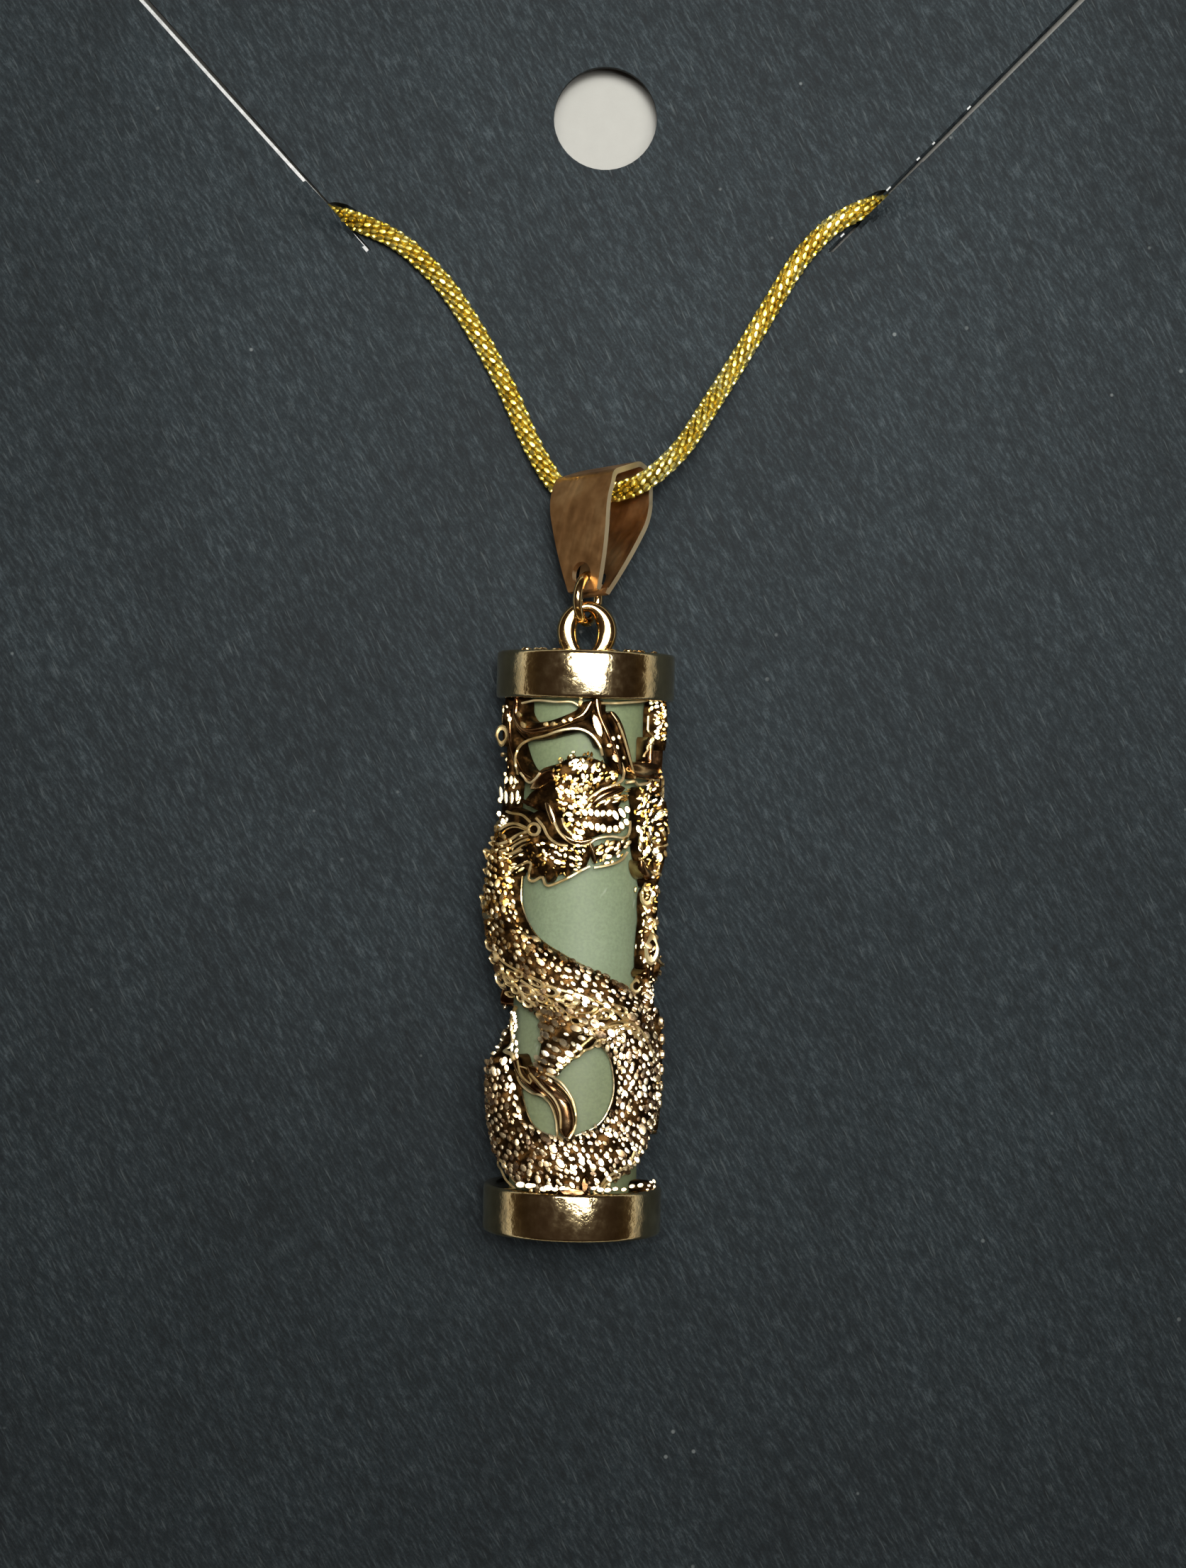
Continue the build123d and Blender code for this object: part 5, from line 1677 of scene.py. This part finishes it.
LOW_OVAL = (
    np.array([
        (-1, 0, 0), (-0.3, 0.95, 0), (-0.3, 0, 0.95), (-0.3, -0.95, 0),
        (0.4, 0.9, 0), (0.4, 0, 0.9), (0.4, -0.9, 0), (1, 0, 0),
    ]),
    [
        (0, 1, 2), (0, 2, 3), (1, 4, 5, 2), (2, 5, 6, 3), (4, 7, 5), (5, 7, 6),
        (0, 3, 1), (1, 3, 6, 4), (4, 6, 7),
    ],
)
woven_top = Pile()
woven_under = Pile()
core = Pile()
core_corners, core_faces = [], []
for k, (place, ahead) in enumerate(zip(rings, travel)):
    aside = aside - ahead * (aside @ ahead)
    aside /= np.linalg.norm(aside)
    upward = np.cross(ahead, aside)
    for j in range(CORE_SIDES):
        turn = 2 * math.pi * j / CORE_SIDES
        core_corners.append(place + (aside * math.cos(turn) + upward * math.sin(turn)) * CORE_RADIUS)
    if place[2] > CARD_TOP:
        woven, oval, size = woven_top, OVAL, OVAL_SIZE
    else:
        woven, oval, size = woven_under, LOW_OVAL, LOW_OVAL_SIZE
    for j in range(COLUMNS):
        turn = 2 * math.pi * (j + 0.5 * (k % 2)) / COLUMNS
        out = aside * math.cos(turn) + upward * math.sin(turn)
        around = np.cross(out, ahead)
        lean = 0.36 + chance.gauss(0, 0.08)
        along = ahead * math.cos(lean) + around * math.sin(lean)
        along += out * (0.10 + chance.gauss(0, 0.06))
        along /= np.linalg.norm(along)
        across = np.cross(out, along)
        across /= np.linalg.norm(across)
        lay(woven, oval, place + out * (CHAIN_RADIUS - 0.175), along, across, size)
for k in range(len(rings) - 1):
    for j in range(CORE_SIDES):
        a = k * CORE_SIDES + j
        b = k * CORE_SIDES + (j + 1) % CORE_SIDES
        core_faces.append((a, b, b + CORE_SIDES, a + CORE_SIDES))
core_faces.append(tuple(reversed(range(CORE_SIDES))))
core_faces.append(tuple(range((len(rings) - 1) * CORE_SIDES, len(rings) * CORE_SIDES)))
core.add(core_corners, core_faces)


def in_metres(flat):
    """Points in millimetres, already in their place, in metres."""
    return np.asarray(flat) * MM


# the chain's core wears painted shade
chain_core = finished("chain_core", core, gold["chain_core"], in_metres)
finished("chain_on_card", woven_top, gold["chain_gold"], in_metres)
finished("chain_under_card", woven_under, gold["chain_gold"], in_metres)
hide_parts("chain")
print("chain rings:", len(rings))

# %% [markdown]
# ## Edges of the slits
# The slits were cut with a blade. The pale core of the board shows as a thin line along the
# side of the left slit that faces the light; the strip is partly the core's own colour and
# partly a painted highlight where the cut edge catches the light. The right slit shows a dark
# line, a strip of painted shade in its gap, and a few torn pale fibres.

# %% Slit edges
# where each slit ends at the inside, across and along the card, and how far it leans
LEFT_SLIT, LEFT_LEAN = np.array([-14.9, 50.7]), -41.8
RIGHT_SLIT, RIGHT_LEAN = np.array([14.2, 50.6]), 44.8
STRIP_FOOT = 1.7
FIBRE_FOOT = 1.9


def edge_strip(pile, start, end, width, top, bottom):
    """A thin strip of cut board from one place to another, in millimetres."""
    run = (end - start) / np.linalg.norm(end - start)
    side = np.array([-run[1], run[0]]) * width / 2
    flat = [start - side, end - side, end + side, start + side]
    corners = [(x, y, bottom) for x, y in flat] + [(x, y, top) for x, y in flat]
    pile.add(corners, [(3, 2, 1, 0), (4, 5, 6, 7), (0, 1, 5, 4), (1, 2, 6, 5), (2, 3, 7, 6), (3, 0, 4, 7)])


def slit_direction(lean):
    """The direction along a slit, out from its inner end."""
    return np.array([math.sin(math.radians(lean)), math.cos(math.radians(lean))])


def beside_slit(slit, lean, reach, offset):
    """The place at a distance along a slit from its inner end, and to the left of it."""
    ahead = slit_direction(lean)
    return slit + ahead * reach + np.array([-ahead[1], ahead[0]]) * offset


# left slit: a pale strip, the board's core and a painted highlight where the cut edge catches the light
slit_edges = Pile()
start = beside_slit(LEFT_SLIT, LEFT_LEAN, 0, 0.09)
end = beside_slit(LEFT_SLIT, LEFT_LEAN, 24.3, 0.20)
edge_strip(slit_edges, start, end, 0.20, 2.19, STRIP_FOOT)
# right slit: a near-black strip of painted shade in the slit's gap
dark_edge = Pile()
start = beside_slit(RIGHT_SLIT, RIGHT_LEAN, 0, 0.13)
end = beside_slit(RIGHT_SLIT, RIGHT_LEAN, 25.6, 0.24)
edge_strip(dark_edge, start, end, 0.16, 2.154, STRIP_FOOT)
finished("dark_slit_edge", dark_edge, shaded_board, in_metres)
for reach, length in ((1.1, 0.3), (2.6, 0.2), (5.2, 0.35), (7.9, 0.25), (9.3, 0.2), (12.4, 0.3)):
    start = beside_slit(RIGHT_SLIT, RIGHT_LEAN, reach, 0.22)
    end = beside_slit(RIGHT_SLIT, RIGHT_LEAN, reach + length, 0.22)
    edge_strip(slit_edges, start, end, 0.10, 2.17, FIBRE_FOOT)
finished("slit_lips", slit_edges, cut_core, in_metres)

# %% [markdown]
# ## Lifted lips
# The board lies over the chain where the chain dives under it, so its cut lip is lifted there a
# little. Each lip is a small sheet that starts at the slit, follows the chain's back and comes
# down to the card again.

# %% Lips over the chain
LIP_HALF_WIDTH = 3.0
LIP_REACH = 4.2
LIP_COLUMNS, LIP_ROWS = 24, 16
BOARD_OVER_CHAIN = 0.10
OVER_CHAIN = CHAIN_RADIUS + 0.08
OVER_CARD = 0.004
EASE_HEIGHT = 0.62
EASE_WIDTH = 1.3
EASE_REACH = 2.6


def lip_height(x, y, side, away):
    """How high the lip stands: on the chain's back, or eased off beside it."""
    near = np.linalg.norm(route[:, :2] - np.array([x, y]), axis=1)
    closest = int(near.argmin())
    aside = near[closest]
    arch = math.sqrt(max(0.0, (CHAIN_RADIUS + BOARD_OVER_CHAIN) ** 2 - aside ** 2))
    back = route[closest][2] + arch - CARD_TOP
    fade = (1 - (side / LIP_HALF_WIDTH) ** 2) * (1 - (away / LIP_REACH) ** 2)
    ease = math.exp(-(aside / EASE_WIDTH) ** 2) * max(0.0, 1 - away / EASE_REACH) * EASE_HEIGHT
    return CARD_TOP + OVER_CARD + max(0.0, back if aside < OVER_CHAIN else 0.0, ease * fade)


def lifted_lip(name, corner, lean, down):
    """A sheet of board from a place on the slit, bulging where the chain runs under it."""
    run = slit_direction(lean)
    down = np.array(down) / np.linalg.norm(down)
    corners, faces = [], []
    for i in range(LIP_ROWS + 1):
        away = LIP_REACH * i / LIP_ROWS
        for j in range(LIP_COLUMNS + 1):
            side = LIP_HALF_WIDTH * (2 * j / LIP_COLUMNS - 1)
            x, y = np.array(corner) + run * side + down * away
            corners.append((x, y, lip_height(x, y, side, away)))
    for i in range(LIP_ROWS):
        for j in range(LIP_COLUMNS):
            a = i * (LIP_COLUMNS + 1) + j
            faces.append((a, a + 1, a + LIP_COLUMNS + 2, a + LIP_COLUMNS + 1))
    sheet = Pile()
    sheet.add(corners, faces)
    lip = finished(name, sheet, card_stock, in_metres)
    if sum(face.normal.z for face in lip.data.polygons) < 0:
        lip.data.flip_normals()


lifted_lip("right_lip", (17.85, 54.15), RIGHT_LEAN, (0.71, -0.70))
lifted_lip("left_lip", (-17.05, 53.05), LEFT_LEAN, (-0.75, -0.67))
print("slit edges done")

# %% [markdown]
# ## Bending the casting round
# Every pile is complete now. Each becomes one piece with its own gold, bent round the column.
# Together they take the place of the CAD's dragon.

# %% Finish the casting
CASTING = [
    ("dragon_hollows", hollow, "cast_hollow"),
    ("dragon_front_scales", front_scales, "cast_gold"),
    ("dragon_crest", crest, "cast_gold"),
    ("dragon_back_scales", back_scales, "cast_gold"),
    ("dragon_warm_grains", amber, "amber_gold"),
    ("dragon_polished", polished, "smooth_gold"),
    ("dragon_rims", rims, "rim_gold"),
    ("dragon_beads", beads, "cast_gold"),
]
casting = [finished(name, pile, gold[look]) for name, pile, look in CASTING]
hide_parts("dragon")
for piece in bpy.data.objects:
    if piece.type == "MESH":
        heights = [(piece.matrix_world @ corner.co).z / MM for corner in piece.data.vertices]
        reach = f"{min(heights):.3f} to {max(heights):.3f} mm high"
        print(f"{piece.name}: {reach}, {len(piece.data.polygons)} faces")
